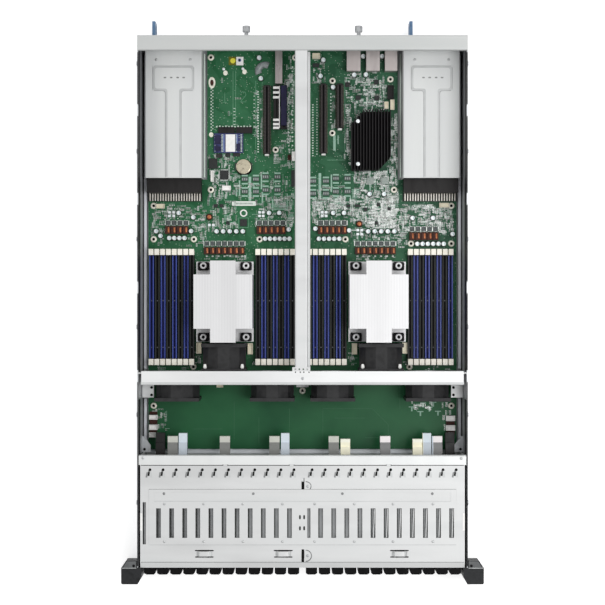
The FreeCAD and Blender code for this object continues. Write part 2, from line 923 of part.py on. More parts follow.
def psu_socket(x):
    """Power socket on the board: a block with a mouth for the card edge and a low row of pins."""
    width = psu_width - 2 * play
    back = y_socket + psu_socket_depth
    outline = [
        (y_pins, z_top), (back, z_top), (back, z_top + psu_socket_height),
        (y_socket, z_top + psu_socket_height), (y_socket, z_top + psu_pin_height),
        (y_pins, z_top + psu_pin_height),
    ]
    body = side(outline, x, width)
    wide, long, thick = psu_tongue
    low = z_floor + play + psu_tongue_rise
    mouth = plate(x, wide + 2 * play, back - long, back + overcut, low - play, low + thick + play)
    return body.cut(mouth)


def board_sockets():
    """Card slots, module connectors and power sockets of the main board."""
    pieces = []
    height = card_slot_height
    depth = card_groove_depth
    for x, rear, length in card_slots:
        y1 = y_rear - rear
        pieces.append(grooved_bar(x, card_slot_width, y1 - length, y1, height, card_groove, depth))
    width, length, height = module_socket_size
    y1 = y_rear - module_socket_rear
    for x in module_socket_x:
        pieces.append(plate(x, width, y1 - length, y1, z_top, z_top + height))
    width, length, height = mezzanine_size
    y1 = y_rear - mezzanine_rear
    for x in mezzanine_x:
        pieces.append(grooved_bar(x, width, y1 - length, y1, height, card_groove, height / 2))
    return pieces + [psu_socket(-psu_x), psu_socket(psu_x)]


def chipset_heatsink():
    """Low finned cooler with two cut corners, on its chip."""
    width, length = chipset_size
    y1 = y_rear - chipset_rear
    y0 = y1 - length
    z0 = z_top + chip_height
    outline = comb(chipset_x, width, chipset_fins, chipset_fin_thickness, chipset_base, chipset_height, z0)
    left = chipset_x - width / 2
    right = chipset_x + width / 2
    cut_x, cut_y = chipset_corner
    shape = [
        (left, y0), (right - cut_x, y0), (right, y0 + cut_y), (right, y1), (left + cut_x, y1),
        (left, y1 - cut_y),
    ]
    cooler = front(outline, y0, y1).common(plan(shape, z0 - overcut, z0 + chipset_height + overcut))
    middle = (y0 + y1) / 2
    chip = plate(chipset_x, chip_size, middle - chip_size / 2, middle + chip_size / 2, z_top, z0)
    return [cooler, chip]


def coin_cell():
    """Flat cell lying on a clip holder."""
    x, rear = cell_place
    y = y_rear - rear
    z0 = z_top + cell_base
    cell = many_sided(x, y, z0, cell_radius, cell_thickness, along_z, cell_sides)
    half = cell_radius / 2
    reach = cell_radius + play
    arm = reach + cell_clip
    high = z0 + cell_thickness
    section = [
        (x - arm, z_top), (x + arm, z_top), (x + arm, high), (x + reach, high),
        (x + reach, z0), (x - reach, z0), (x - reach, high), (x - arm, high),
    ]
    return [front(section, y - half, y + half), cell]


def power_chokes():
    """Rows of moulded chokes behind the processors and the memory banks."""
    chokes = []
    for place, x, count in choke_rows:
        y0 = y_heatsink_rear + choke_gap
        length = choke_length
        if place != "processor":
            y0 = y_bank_choke
            length = bank_choke_length
        if place == "near bank":
            y0 -= near_bank_shift
        for index in range(count):
            middle = x + (index - (count - 1) / 2) * choke_pitch
            chokes.append(plate(middle, choke_width, y0, y0 + length, z_top, z_top + choke_height))
    return chokes


def rear_jacks():
    """Metal jack shells with open mouths at the rear, and the plain card guide beside them."""
    y1 = y_panel + jack_proud
    shells = []
    for x, width in jack_places:
        shell = plate(x, width, y1 - jack_depth, y1, z_top, z_top + jack_height)
        mouth = plate(
            x, width - 2 * jack_wall, y1 - jack_mouth_depth, y1 + overcut,
            z_top + jack_wall, z_top + jack_height - jack_wall,
        )
        shells.append(shell.cut(mouth))
    y1 = y_rear - guide_bar_rear
    y0 = y1 - guide_bar_length
    shells.append(plate(guide_bar_x, guide_bar_width, y0, y1, z_top, z_top + guide_bar_height))
    return shells


def psu_cage(x):
    """Sheet tunnel around a power supply, with a raised T-shaped panel in its top."""
    left = x - psu_cage_width / 2
    right = x + psu_cage_width / 2
    high = z_floor + play + psu_height + play + thin_sheet
    y0 = y_socket + psu_socket_depth
    y1 = y_panel - sheet
    section = [(left, z_floor), (left, high), (right, high), (right, z_floor)]
    tunnel = folded_front(section, y0, y1, thin_sheet)
    head = y_rear - emboss_rear

    def panel(shrink, low, top):
        wide = emboss_width / 2 - shrink
        stem = emboss_stem / 2 - shrink
        outline = [
            (x - wide, head - shrink), (x - wide, head - emboss_length + shrink),
            (x - stem, head - emboss_length + shrink), (x - stem, y0 + shrink),
            (x + stem, y0 + shrink), (x + stem, head - emboss_length + shrink),
            (x + wide, head - emboss_length + shrink), (x + wide, head - shrink),
        ]
        return plan(outline, low, top)

    raised = panel(0, high - thin_sheet, high + emboss_height)
    hollow = panel(thin_sheet, high - thin_sheet - overcut, high + emboss_height - thin_sheet)
    return join(tunnel, raised).cut(hollow)


def psu_cages():
    """Both power supply tunnels."""
    return [psu_cage(-psu_x), psu_cage(psu_x)]


def latch_axis(x):
    """Centre of a power supply latch barrel in X and Y."""
    return x - psu_width / 2 + latch_lever_inset, y_psu_rear + latch_barrel + play


def power_supply(x):
    """Power supply: case, mains inlet, air slots, latch ears and the card edge at its front."""
    z0 = z_floor + play
    left = x - psu_width / 2
    case = plate(x, psu_width, y_psu, y_psu_rear, z0, z0 + psu_height)
    wide, long, thick = psu_tongue
    low = z0 + psu_tongue_rise
    tongue = plate(x, wide, y_psu - psu_gap - long + play, y_psu, low, low + thick)
    axis_x, axis_y = latch_axis(x)
    ears = []
    y1 = axis_y + latch_barrel
    lever = z0 + latch_lever_rise
    for z in (lever - latch_ear_thickness - play, lever + latch_lever_height + play):
        ears.append(plate(axis_x, 2 * latch_barrel, y_psu_rear, y1, z, z + latch_ear_thickness))
    body = join(case, tongue, *ears)
    right = x + psu_width / 2 - inlet_wall
    middle = z0 + psu_height / 2
    cuts = [
        block(right - inlet_width, right, y_psu_rear - inlet_depth, y_psu_rear + overcut,
              middle - inlet_height / 2, middle + inlet_height / 2),
    ]
    pitch = (psu_width - inlet_width - 2 * inlet_wall - latch_lever_inset - 2 * latch_barrel) / psu_vents
    start = left + latch_lever_inset + 2 * latch_barrel + pitch / 2
    for index in range(psu_vents):
        cuts.append(plate(
            start + index * pitch, psu_vent_width, y_psu_rear - psu_vent_depth, y_psu_rear + overcut,
            middle - psu_vent_height / 2, middle + psu_vent_height / 2,
        ))
    return body.cut(cuts)


def psu_latch(x):
    """Release lever of a power supply: a flat finger plate with a window, on an upright barrel."""
    axis_x, axis_y = latch_axis(x)
    z0 = z_floor + play + latch_lever_rise
    tip = y_rear + latch_lever_reach
    barrel = pin(axis_x, axis_y, z0, latch_barrel, latch_lever_height, along_z)
    lever = plate(axis_x, latch_lever_thickness, axis_y, tip, z0, z0 + latch_lever_height)
    long, high = latch_window
    y1 = tip - latch_lever_thickness
    z1 = z0 + latch_lever_height / 2 + high / 2
    window = plate(axis_x, 2 * latch_lever_thickness, y1 - long, y1, z1 - high, z1)
    return join(barrel, lever).cut(window)


def fan_frame(x, y0):
    """Fan housing: two square flanges on a round barrel, with a stator held on four struts."""
    y1 = y0 + fan_depth
    z = z_fan + fan_size / 2
    barrel = many_sided(x, y0, z, fan_bore + fan_waist, fan_depth, along_y, bore_sides)
    flanges = []
    for y in (y0, y1 - fan_flange):
        flanges.append(plate(x, fan_size, y, y + fan_flange, z_fan, z_fan + fan_size))
    bore = many_sided(x, y0 - overcut, z, fan_bore, fan_depth + 2 * overcut, along_y, bore_sides)
    housing = join(barrel, *flanges).cut(bore)
    back = y1 - stator_depth
    stator = many_sided(x, back, z, hub_radius, stator_depth, along_y, hub_sides)
    struts = []
    for turn in (45, 135, 225, 315):
        strut = plate(x, strut_width, back, y1, z, z + fan_bore + fan_waist / 2)
        strut.rotate(FreeCAD.Vector(x, y1, z), along_y, turn)
        struts.append(strut)
    bearing = many_sided(x, back, z, bearing_radius, stator_depth, along_y, stud_sides)
    return join(housing, stator, *struts).cut(bearing)


def fan_frames():
    """All six fan housings."""
    return [fan_frame(x, y) for x, y in fan_places()]


def fan_blade(reach):
    """One blade: a cambered strip pitched to the air flow and carried outwards from the hub."""
    steps = 2
    upper = []
    lower = []
    for index in range(steps + 1):
        t = index / steps
        along = (t - 0.5) * fan_blade_chord
        rise = 4 * fan_blade_camber * t * (1 - t)
        upper.append(FreeCAD.Vector(rise + fan_blade_thickness / 2, along, 0))
        lower.append(FreeCAD.Vector(rise - fan_blade_thickness / 2, along, 0))
    blade = prism(upper + lower[::-1], along_z * reach)
    blade.translate(FreeCAD.Vector(-fan_blade_camber / 2, 0, 0))
    blade.rotate(origin, along_z, fan_blade_pitch)
    return blade


def fan_rotor(x, y0):
    """Fan wheel: hub, pitched blades and the shaft that turns in the stator."""
    z = z_fan + fan_size / 2
    hub_start = y0 + hub_front_gap
    hub_end = y0 + fan_depth - stator_depth - running_gap
    hub = many_sided(x, hub_start, z, hub_radius, hub_end - hub_start, along_y, hub_sides)
    shaft = pin(x, hub_end, z, shaft_radius, stator_depth, along_y)
    root = hub_radius - fan_blade_thickness
    half_width = fan_blade_chord * math.sin(math.radians(fan_blade_pitch)) / 2 + fan_blade_camber
    tip = math.sqrt((fan_bore - fan_tip_gap) ** 2 - half_width ** 2)
    blades = []
    for index in range(fan_blades):
        blade = fan_blade(tip - root)
        blade.translate(FreeCAD.Vector(x, (hub_start + hub_end) / 2, z + root))
        blade.rotate(FreeCAD.Vector(x, y0, z), along_y, 360 * index / fan_blades)
        blades.append(blade)
    return join(hub, shaft, *blades)


def drive_carrier(index):
    """Carrier frame with bezel and two rails, its lever and button, and the drive between the rails."""
    x = bay_x(index)
    z1 = z_carrier + carrier_height
    y0 = y_front - bezel_reach
    back = y0 + bezel_depth
    y_end = y_backplane - carrier_rear_gap
    rail = (carrier_height - drive_height) / 2 - play
    half = carrier_width / 2
    section = [
        (y0, z_carrier), (y_end, z_carrier), (y_end, z_carrier + rail), (back, z_carrier + rail),
        (back, z1 - rail), (y_end, z1 - rail), (y_end, z1), (y0, z1),
    ]
    footprint = [
        (x - half, y_end), (x - half, y0 + bezel_corner), (x - half + bezel_corner, y0),
        (x + half - bezel_corner, y0), (x + half, y0 + bezel_corner), (x + half, y_end),
    ]
    frame = side(section, x, carrier_width).common(plan(footprint, z_carrier, z1))
    bottom = z_carrier + (carrier_height - lever_height + button_height) / 2
    top = bottom + lever_height
    lever = side(
        [
            (y0, bottom), (y0 - lever_root, bottom), (y0 - lever_thickness, bottom + lever_thickness),
            (y0 - lever_root, top), (y0, top),
        ],
        x, lever_width,
    )
    button = plate(x, lever_width, y0 - lever_root, y0, bottom - button_height - play, bottom - play)
    drive = plate(x, drive_thickness, y_end - drive_length, y_end, z_carrier + rail + play, z1 - rail - play)
    return [frame, lever, button, drive]


def rack_ear():
    """Right rack ear: moulded block with screw wells, a strap on the side wall and a tapered gusset."""
    outer = x_outer + ear_flange
    inner = cage_half - thin_sheet - bay_side_gap + ear_clear
    y0 = y_front - ear_reach
    cut_x, cut_y = ear_chamfer
    z0 = ear_bottom
    outline = [
        (inner, y_front), (inner, y0 + cut_y), (inner + cut_x, y0), (outer - ear_corner, y0),
        (outer, y0 + ear_corner), (outer, y_front),
    ]
    ear = plan(outline, z0, z0 + ear_height)
    strap = block(
        x_outer, x_outer + ear_strap, y_front, y_front + ear_strap_length,
        ear_strap_rise, ear_strap_rise + ear_strap_height,
    )
    gusset = plan(
        [
            (x_outer, y_front), (outer - gusset_inset, y_front),
            (outer - gusset_inset - gusset_taper, y_front + gusset_depth),
            (x_outer, y_front + gusset_depth),
        ],
        z0 + ear_height - gusset_height, z0 + ear_height,
    )
    ear = join(ear, strap, gusset)
    hole_x = outer - rack_hole_edge
    middle = chassis_height / 2
    cuts = []
    for z in (middle - rack_hole_spacing / 2, middle + rack_hole_spacing / 2):
        depth = ear_reach - ear_plate
        cuts.append(pin(hole_x, y0, z, rack_hole_radius, ear_reach, along_y))
        cuts.append(many_sided(hole_x, y0, z, rack_well_radius, depth, along_y, thumb_sides))
    return ear.cut(cuts)


def button_place():
    """Centre of the power button on the left ear."""
    return -(x_outer + ear_flange - button_inset), chassis_height / 2


def rack_ears():
    """Both ears; the left one has the button hole."""
    right = rack_ear()
    x, z = button_place()
    depth = button_recess + button_length + button_travel + play
    hole = pin(x, y_front - ear_reach, z, button_radius + button_play, depth, along_y)
    return [mirrored(right).cut(hole), right]


def power_button():
    """Round push button in the left ear."""
    x, z = button_place()
    return pin(x, y_front - ear_reach + button_recess, z, button_radius, button_length, along_y)


def thumbscrews():
    """Fluted thumbscrews on the rear panel."""
    screws = []
    start = y_panel - sheet
    knob_start = y_panel + thumb_neck_length
    reach = knob_start - start
    for x in (-thumb_x, thumb_x):
        neck = many_sided(x, start, thumb_rise, thumb_neck_radius, reach, along_y, thumb_sides)
        knob = many_sided(x, knob_start, thumb_rise, thumb_radius, thumb_length, along_y, thumb_sides)
        screws.append(join(neck, knob))
    return screws


def save(name, shapes):
    """Write one node, a single solid or a group of solids."""
    pieces = shapes if isinstance(shapes, list) else [shapes]
    shape = pieces[0] if len(pieces) == 1 else Part.makeCompound(pieces)
    shape.exportStep("parts/" + name + ".step")


os.makedirs("parts", exist_ok=True)
fixed = (
    base_pan, rear_panel, rear_bridge, centre_brace, fan_wall, drive_cage, cage_cover, backplane,
    backplane_plugs, main_board, cpu_sockets, cpu_heatsinks, board_sockets, chipset_heatsink, coin_cell,
    power_chokes, rear_jacks, psu_cages, fan_frames, rack_ears, thumbscrews, power_button,
)
for piece in fixed:
    save(piece.__name__, piece())
save("dimm_sockets_blue", dimm_sockets(True))
save("dimm_sockets_black", dimm_sockets(False))
save("dimm_latches_rear", dimm_latches(True))
save("dimm_latches_front", dimm_latches(False))
for name, x in (("left", -psu_x), ("right", psu_x)):
    save("psu_" + name, power_supply(x))
    save("psu_latch_" + name, psu_latch(x))
for number, (x, y) in enumerate(fan_places(), 1):
    save("fan_rotor_" + str(number), fan_rotor(x, y))
for index in range(2 * bays_per_side):
    save("drive_carrier_{:02d}".format(index + 1), drive_carrier(index))
print("chassis", 2 * x_outer, chassis_depth, chassis_height)
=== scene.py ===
import math

import bpy
import numpy as np
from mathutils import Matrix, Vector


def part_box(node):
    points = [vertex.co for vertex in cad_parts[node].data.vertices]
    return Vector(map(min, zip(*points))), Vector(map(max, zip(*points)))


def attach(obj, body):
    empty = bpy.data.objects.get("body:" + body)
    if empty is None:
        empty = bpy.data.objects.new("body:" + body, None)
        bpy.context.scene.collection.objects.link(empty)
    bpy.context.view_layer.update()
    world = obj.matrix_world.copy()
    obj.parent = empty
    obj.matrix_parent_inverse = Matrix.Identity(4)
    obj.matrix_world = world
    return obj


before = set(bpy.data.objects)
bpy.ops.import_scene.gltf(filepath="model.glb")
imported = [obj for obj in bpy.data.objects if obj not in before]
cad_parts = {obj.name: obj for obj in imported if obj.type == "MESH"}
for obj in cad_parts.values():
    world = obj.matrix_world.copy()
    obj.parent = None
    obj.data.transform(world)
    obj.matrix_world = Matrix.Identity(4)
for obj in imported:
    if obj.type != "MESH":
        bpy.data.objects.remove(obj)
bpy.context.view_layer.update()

# Open rack storage server. Lengths are in millimetres until a piece is made.
mm = 0.001
draw = np.random.default_rng(24)


# Shapes: each is an array of points and a list of face arrays

def skin(rings):
    """Closed skin over a stack of rings: point (i, j) is point j of ring i.

    Quads join ring i to ring i + 1, and one many-sided face closes each end."""
    rings = np.asarray(rings, float)
    count, sides = rings.shape[:2]
    i, j = np.meshgrid(np.arange(count - 1), np.arange(sides), indexing="ij")
    k = (j + 1) % sides
    quads = np.stack([i * sides + j, i * sides + k, (i + 1) * sides + k, (i + 1) * sides + j], -1)
    ends = np.stack([np.arange(sides)[::-1], (count - 1) * sides + np.arange(sides)])
    return rings.reshape(-1, 3), [quads.reshape(-1, 4), ends]


def outline(width, length, corner=0.0, steps=0):
    """Rounded rectangle: each corner's centre plus corner times (cos a, sin a), a over a quarter turn."""
    a = np.arange(4)[:, None] * math.pi / 2 + np.linspace(0, math.pi / 2, steps + 1)
    sign_x = np.array([1, -1, -1, 1])[:, None]
    sign_y = np.array([1, 1, -1, -1])[:, None]
    x = sign_x * (width / 2 - corner) + corner * np.cos(a)
    y = sign_y * (length / 2 - corner) + corner * np.sin(a)
    return np.stack([x.ravel(), y.ravel()], -1)


def side_by_side(*columns):
    """Rows made of columns that are arrays or single numbers: row i takes number i of each."""
    return np.stack(np.broadcast_arrays(*columns), -1).astype(float)


def at_level(flat, level):
    """Flat points (x, y) as points (x, y, level)."""
    return np.column_stack([flat, np.full(len(flat), level)])


def moulding(width, length, profile, corner=0.0, steps=0):
    """Moulded block: the outline drawn in by profile's inset at profile's height, ring on ring."""
    rings = []
    for inset, height in profile:
        flat = outline(width - 2 * inset, length - 2 * inset, max(corner - inset, 0.0), steps)
        rings.append(at_level(flat, height))
    return skin(rings)


def plate(width, length, height, corner=0.0, steps=0):
    """Flat plate: the outline raised straight up to a height."""
    return moulding(width, length, [(0, 0), (0, height)], corner, steps)


def slab(flat, low, high):
    """Slab between two levels over a flat outline."""
    return skin([at_level(flat, low), at_level(flat, high)])


def block(width, length, height, edge=0.15):
    """Block with a bevelled top: inset 0 up to height - edge, then inset edge at height."""
    return moulding(width, length, [(0, 0), (0, height - edge), (edge, height)])


def lathe(profile, sides=20):
    """Turned shape: profile (r, z) turned about Z, so a point is (r cos a, r sin a, z)."""
    r, z = np.asarray(profile, float).T[:, :, None]
    a = 2 * math.pi * np.arange(sides) / sides
    return skin(np.stack([r * np.cos(a), r * np.sin(a), z + 0 * a], -1))


def carried(section, path, up=(0, 0, 1)):
    """Section (u, v) carried along a path: point = path + u side + v over.

    Side is the path's direction crossed with up, and over is side crossed with the direction."""
    path = np.asarray(path, float)
    section = np.asarray(section, float)[::-1]
    ahead = np.gradient(path, axis=0)
    ahead /= np.linalg.norm(ahead, axis=1, keepdims=True)
    side = np.cross(ahead, up)
    side /= np.linalg.norm(side, axis=1, keepdims=True)
    over = np.cross(side, ahead)
    rings = path[:, None] + section[None, :, :1] * side[:, None] + section[None, :, 1:] * over[:, None]
    return skin(rings)


def flat_bar(half, rise=0.12):
    """Section of a thin flat bar, half its width to each side."""
    return [(-half, 0), (half, 0), (half, rise), (-half, rise)]


def copies(shape, places, turn=0.0, size=1.0):
    """Copies of a shape as one array (copy, point): scaled by size, turned about Z, moved to its place."""
    points, faces = shape
    places = np.atleast_2d(np.asarray(places, float))
    count = len(places)
    size = np.broadcast_to(size, (count, 3)) if np.ndim(size) else np.full((count, 3), size)
    turn = np.broadcast_to(turn, count)[:, None]
    x, y, z = np.moveaxis(points[None] * size[:, None], -1, 0)
    moved = np.stack([x * np.cos(turn) - y * np.sin(turn), x * np.sin(turn) + y * np.cos(turn), z], -1)
    moved += places[:, None]
    shift = (np.arange(count) * len(points))[:, None, None]
    return moved.reshape(-1, 3), [(f[None] + shift).reshape(-1, f.shape[1]) for f in faces]


def joined(*shapes):
    """Several shapes as one: points end to end, face numbers moved up to match."""
    starts = np.cumsum([0] + [len(points) for points, faces in shapes[:-1]])
    faces = [f + start for (points, group), start in zip(shapes, starts) for f in group]
    return np.concatenate([points for points, group in shapes]), faces


def tipped(shape, way):
    """Shape turned so that its Z points a given way: rear, front, right, left or down."""
    points, faces = shape
    x, y, z = points.T
    turned = {
        "rear": (x, z, -y), "front": (x, -z, y), "right": (z, y, -x), "left": (-z, y, x), "down": (x, -y, -z),
    }
    return np.stack(turned[way], -1), faces


def span(node):
    """Lowest and highest corner of a CAD node in millimetres."""
    low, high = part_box(node)
    return np.array(low) / mm, np.array(high) / mm


# Finishes: procedural node materials, each kept with a slot name

looks = {}


def tone(red, green, blue):
    """Screen colour from 0 to 255 as the linear colour of a shader: ((c + 0.055) / 1.055) ^ 2.4."""
    c = np.array([red, green, blue]) / 255
    linear = np.where(c > 0.04045, ((c + 0.055) / 1.055) ** 2.4, c / 12.92)
    return (*linear.tolist(), 1.0)


def node(tree, kind, values=(), **settings):
    """Adds a shader node: settings are its properties, values are (socket, number or other socket)."""
    made = tree.nodes.new("ShaderNode" + kind)
    for key, value in settings.items():
        setattr(made, key, value)
    for socket, value in values:
        if isinstance(value, bpy.types.NodeSocket):
            tree.links.new(value, made.inputs[socket])
        else:
            made.inputs[socket].default_value = value
    return made


def reckon(tree, operation, first, second):
    """Math node on two values."""
    return node(tree, "Math", [(0, first), (1, second)], operation=operation).outputs[0]


def times(tree, first, second):
    """Product of two values."""
    return reckon(tree, "MULTIPLY", first, second)


def rescale(tree, value, low, high, to_low=0.0, to_high=1.0):
    """Value carried from one range to another and kept within it."""
    made = node(tree, "MapRange", [
        ("Value", value), ("From Min", low), ("From Max", high), ("To Min", to_low), ("To Max", to_high)])
    return made.outputs["Result"]


def blend(tree, factor, first, second, kind="MIX"):
    """Mix of two colours by a factor."""
    made = node(tree, "MixRGB", [("Fac", factor), ("Color1", first), ("Color2", second)], blend_type=kind)
    return made.outputs[0]


def ramp(tree, factor, tones, low=0.3, high=0.7):
    """Colour ramp with the tones evenly spaced between two factors."""
    made = node(tree, "ValToRGB", [("Fac", factor)])
    stops = made.color_ramp.elements
    for place, colour in zip(np.linspace(low, high, len(tones))[1:-1], tones[1:-1]):
        stops.new(place).color = tone(*colour)
    stops[0].position, stops[0].color = low, tone(*tones[0])
    stops[-1].position, stops[-1].color = high, tone(*tones[-1])
    return made.outputs["Color"]


def start(name, slot, metal, gloss=0.5):
    """New node material with its shader, kept under its name with the record's slot."""
    made = bpy.data.materials.new(name)
    made.use_nodes = True
    tree = made.node_tree
    shader = tree.nodes["Principled BSDF"]
    shader.inputs["Metallic"].default_value = metal
    shader.inputs["Specular IOR Level"].default_value = gloss
    looks[name] = (made, slot)
    return tree, shader


def grain_of(tree, shader, grain, stretch, rough, lift, grit=1500.0):
    """Object-space noise of a grain (cells per metre) that sets roughness; finer noise that lifts the skin."""
    place = node(tree, "TexCoord").outputs["Object"]
    spread = node(tree, "Mapping", [("Vector", place), ("Scale", stretch)]).outputs["Vector"]
    noise = node(tree, "TexNoise", [("Vector", spread), ("Scale", grain), ("Detail", 4.0)]).outputs["Fac"]
    tree.links.new(rescale(tree, noise, 0.3, 0.7, *rough), shader.inputs["Roughness"])
    fine = node(tree, "TexNoise", [("Vector", spread), ("Scale", grit), ("Detail", 2.0)]).outputs["Fac"]
    bump = node(tree, "Bump", [("Height", fine), ("Distance", lift * mm), ("Strength", 0.6)])
    tree.links.new(bump.outputs["Normal"], shader.inputs["Normal"])
    return place, noise


brushed = (1, 0.05, 1)
even = (1, 1, 1)


def finish(name, slot, tones, grain=60, stretch=even, rough=(0.4, 0.55), metal=0.0, gloss=0.5, lift=0.04):
    """Plain finish: the grain noise walks through the tones and the roughness range."""
    tree, shader = start(name, slot, metal, gloss)
    place, noise = grain_of(tree, shader, grain, stretch, rough, lift)
    tree.links.new(ramp(tree, noise, tones), shader.inputs["Base Color"])


def solder_mask(name, slot, tones, trace, copper):
    """Circuit board skin: broad patches of two greens, fine parallel traces where a noise allows them,
    and tin dots where the distance to a cell's point is small. The traces fade out towards the front,
    and the rear right part is cooler."""
    tree, shader = start(name, slot, 0.0, 0.2)
    place, noise = grain_of(tree, shader, 9.0, even, (0.32, 0.46), 0.03, 900.0)
    split = node(tree, "SeparateXYZ", [("Vector", place)])
    right = rescale(tree, split.outputs["X"], -0.06, 0.08)
    rear = rescale(tree, split.outputs["Y"], 0.03, 0.08)
    cool = times(tree, times(tree, right, rear), 0.5)
    shade = blend(tree, cool, ramp(tree, noise, tones), tone(26, 56, 46))
    zones = node(tree, "TexNoise", [("Vector", place), ("Scale", 34.0), ("Detail", 1.0)]).outputs["Fac"]
    fade = rescale(tree, split.outputs["Y"], -0.09, -0.05)
    for direction, low, high in (("X", 0.54, 0.56), ("Y", 0.46, 0.44)):
        lines = node(tree, "TexWave", [("Vector", place), ("Scale", 190.0), ("Distortion", 0.0)],
                     wave_type="BANDS", bands_direction=direction).outputs["Fac"]
        here = times(tree, rescale(tree, zones, low, high), rescale(tree, lines, 0.55, 0.75))
        shade = blend(tree, times(tree, times(tree, here, fade), 0.5), shade, tone(*trace))
    cells = node(tree, "TexVoronoi", [("Vector", place), ("Scale", 300.0)]).outputs["Distance"]
    dots = rescale(tree, cells, 0.17, 0.12)
    shade = blend(tree, times(tree, dots, fade), shade, tone(*copper))
    tree.links.new(shade, shader.inputs["Base Color"])


def parted(tree, shader, noise, mask, tones, metal_tones, shine):
    """Two finishes on one node: metal tones with a metal share where the mask is 1, plain tones elsewhere."""
    mixed = blend(tree, mask, ramp(tree, noise, tones), ramp(tree, noise, metal_tones))
    tree.links.new(mixed, shader.inputs["Base Color"])
    tree.links.new(times(tree, mask, shine), shader.inputs["Metallic"])


def carrier_finish(name, slot, tones, rail_tones, front):
    """Dark plastic in front of a Y level, grey pressed metal behind it."""
    tree, shader = start(name, slot, 0.0, 0.06)
    place, noise = grain_of(tree, shader, 90.0, (1, 0.3, 1), (0.4, 0.54), 0.05)
    split = node(tree, "SeparateXYZ", [("Vector", place)])
    behind = reckon(tree, "GREATER_THAN", split.outputs["Y"], front * mm)
    parted(tree, shader, noise, behind, tones, rail_tones, 0.3)


def cell_finish(name, slot, tones, holder_tones, radius):
    """Coin cell in its holder: steel within a radius of the cell's axis, dark plastic beyond it."""
    tree, shader = start(name, slot, 0.0, 0.4)
    place, noise = grain_of(tree, shader, 220.0, even, (0.24, 0.4), 0.04)
    low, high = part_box("coin_cell")
    middle = ((low[0] + high[0]) / 2, (low[1] + high[1]) / 2, 0)
    flat = node(tree, "VectorMath", [(0, place), (1, (1, 1, 0))], operation="MULTIPLY").outputs[0]
    away = node(tree, "VectorMath", [(0, flat), (1, middle)], operation="DISTANCE").outputs["Value"]
    parted(tree, shader, noise, reckon(tree, "LESS_THAN", away, radius * mm), holder_tones, tones, 0.7)


plug_reach = 0.22


def stepped(tree, across, plugs):
    """Stepped ramp across X: each plug's colour reaches half-way to its neighbours."""
    steps = node(tree, "ValToRGB", [("Fac", across)])
    stops = steps.color_ramp.elements
    steps.color_ramp.interpolation = "CONSTANT"
    stops[0].color = tone(*plugs[0][1])
    stops.remove(stops[1])
    for (left, before), (right, colour) in zip(plugs, plugs[1:]):
        stops.new(((left + right) / 2 * mm + plug_reach) / (2 * plug_reach)).color = tone(*colour)
    return steps.outputs["Color"]


def plug_finish(name, slot, plugs, mouth):
    """Cable plugs: stepped ramps across X give each plug one tone on top and another in front of its mouth,
    mostly darker there as painted shade under the drive cage beam.
    """
    tree, shader = start(name, slot, 0.0, 0.3)
    place, noise = grain_of(tree, shader, 140.0, even, (0.4, 0.55), 0.04)
    split = node(tree, "SeparateXYZ", [("Vector", place)])
    across = rescale(tree, split.outputs["X"], -plug_reach, plug_reach)
    tops, shaded_fronts = [stepped(tree, across, [(x, colours[level]) for x, colours in plugs]) for level in (0, 1)]
    both = blend(tree, reckon(tree, "LESS_THAN", split.outputs["Y"], mouth * mm), tops, shaded_fronts)
    wear = ramp(tree, noise, [(216, 216, 216), (255, 255, 255)])
    tree.links.new(blend(tree, 0.2, both, wear, "MULTIPLY"), shader.inputs["Base Color"])


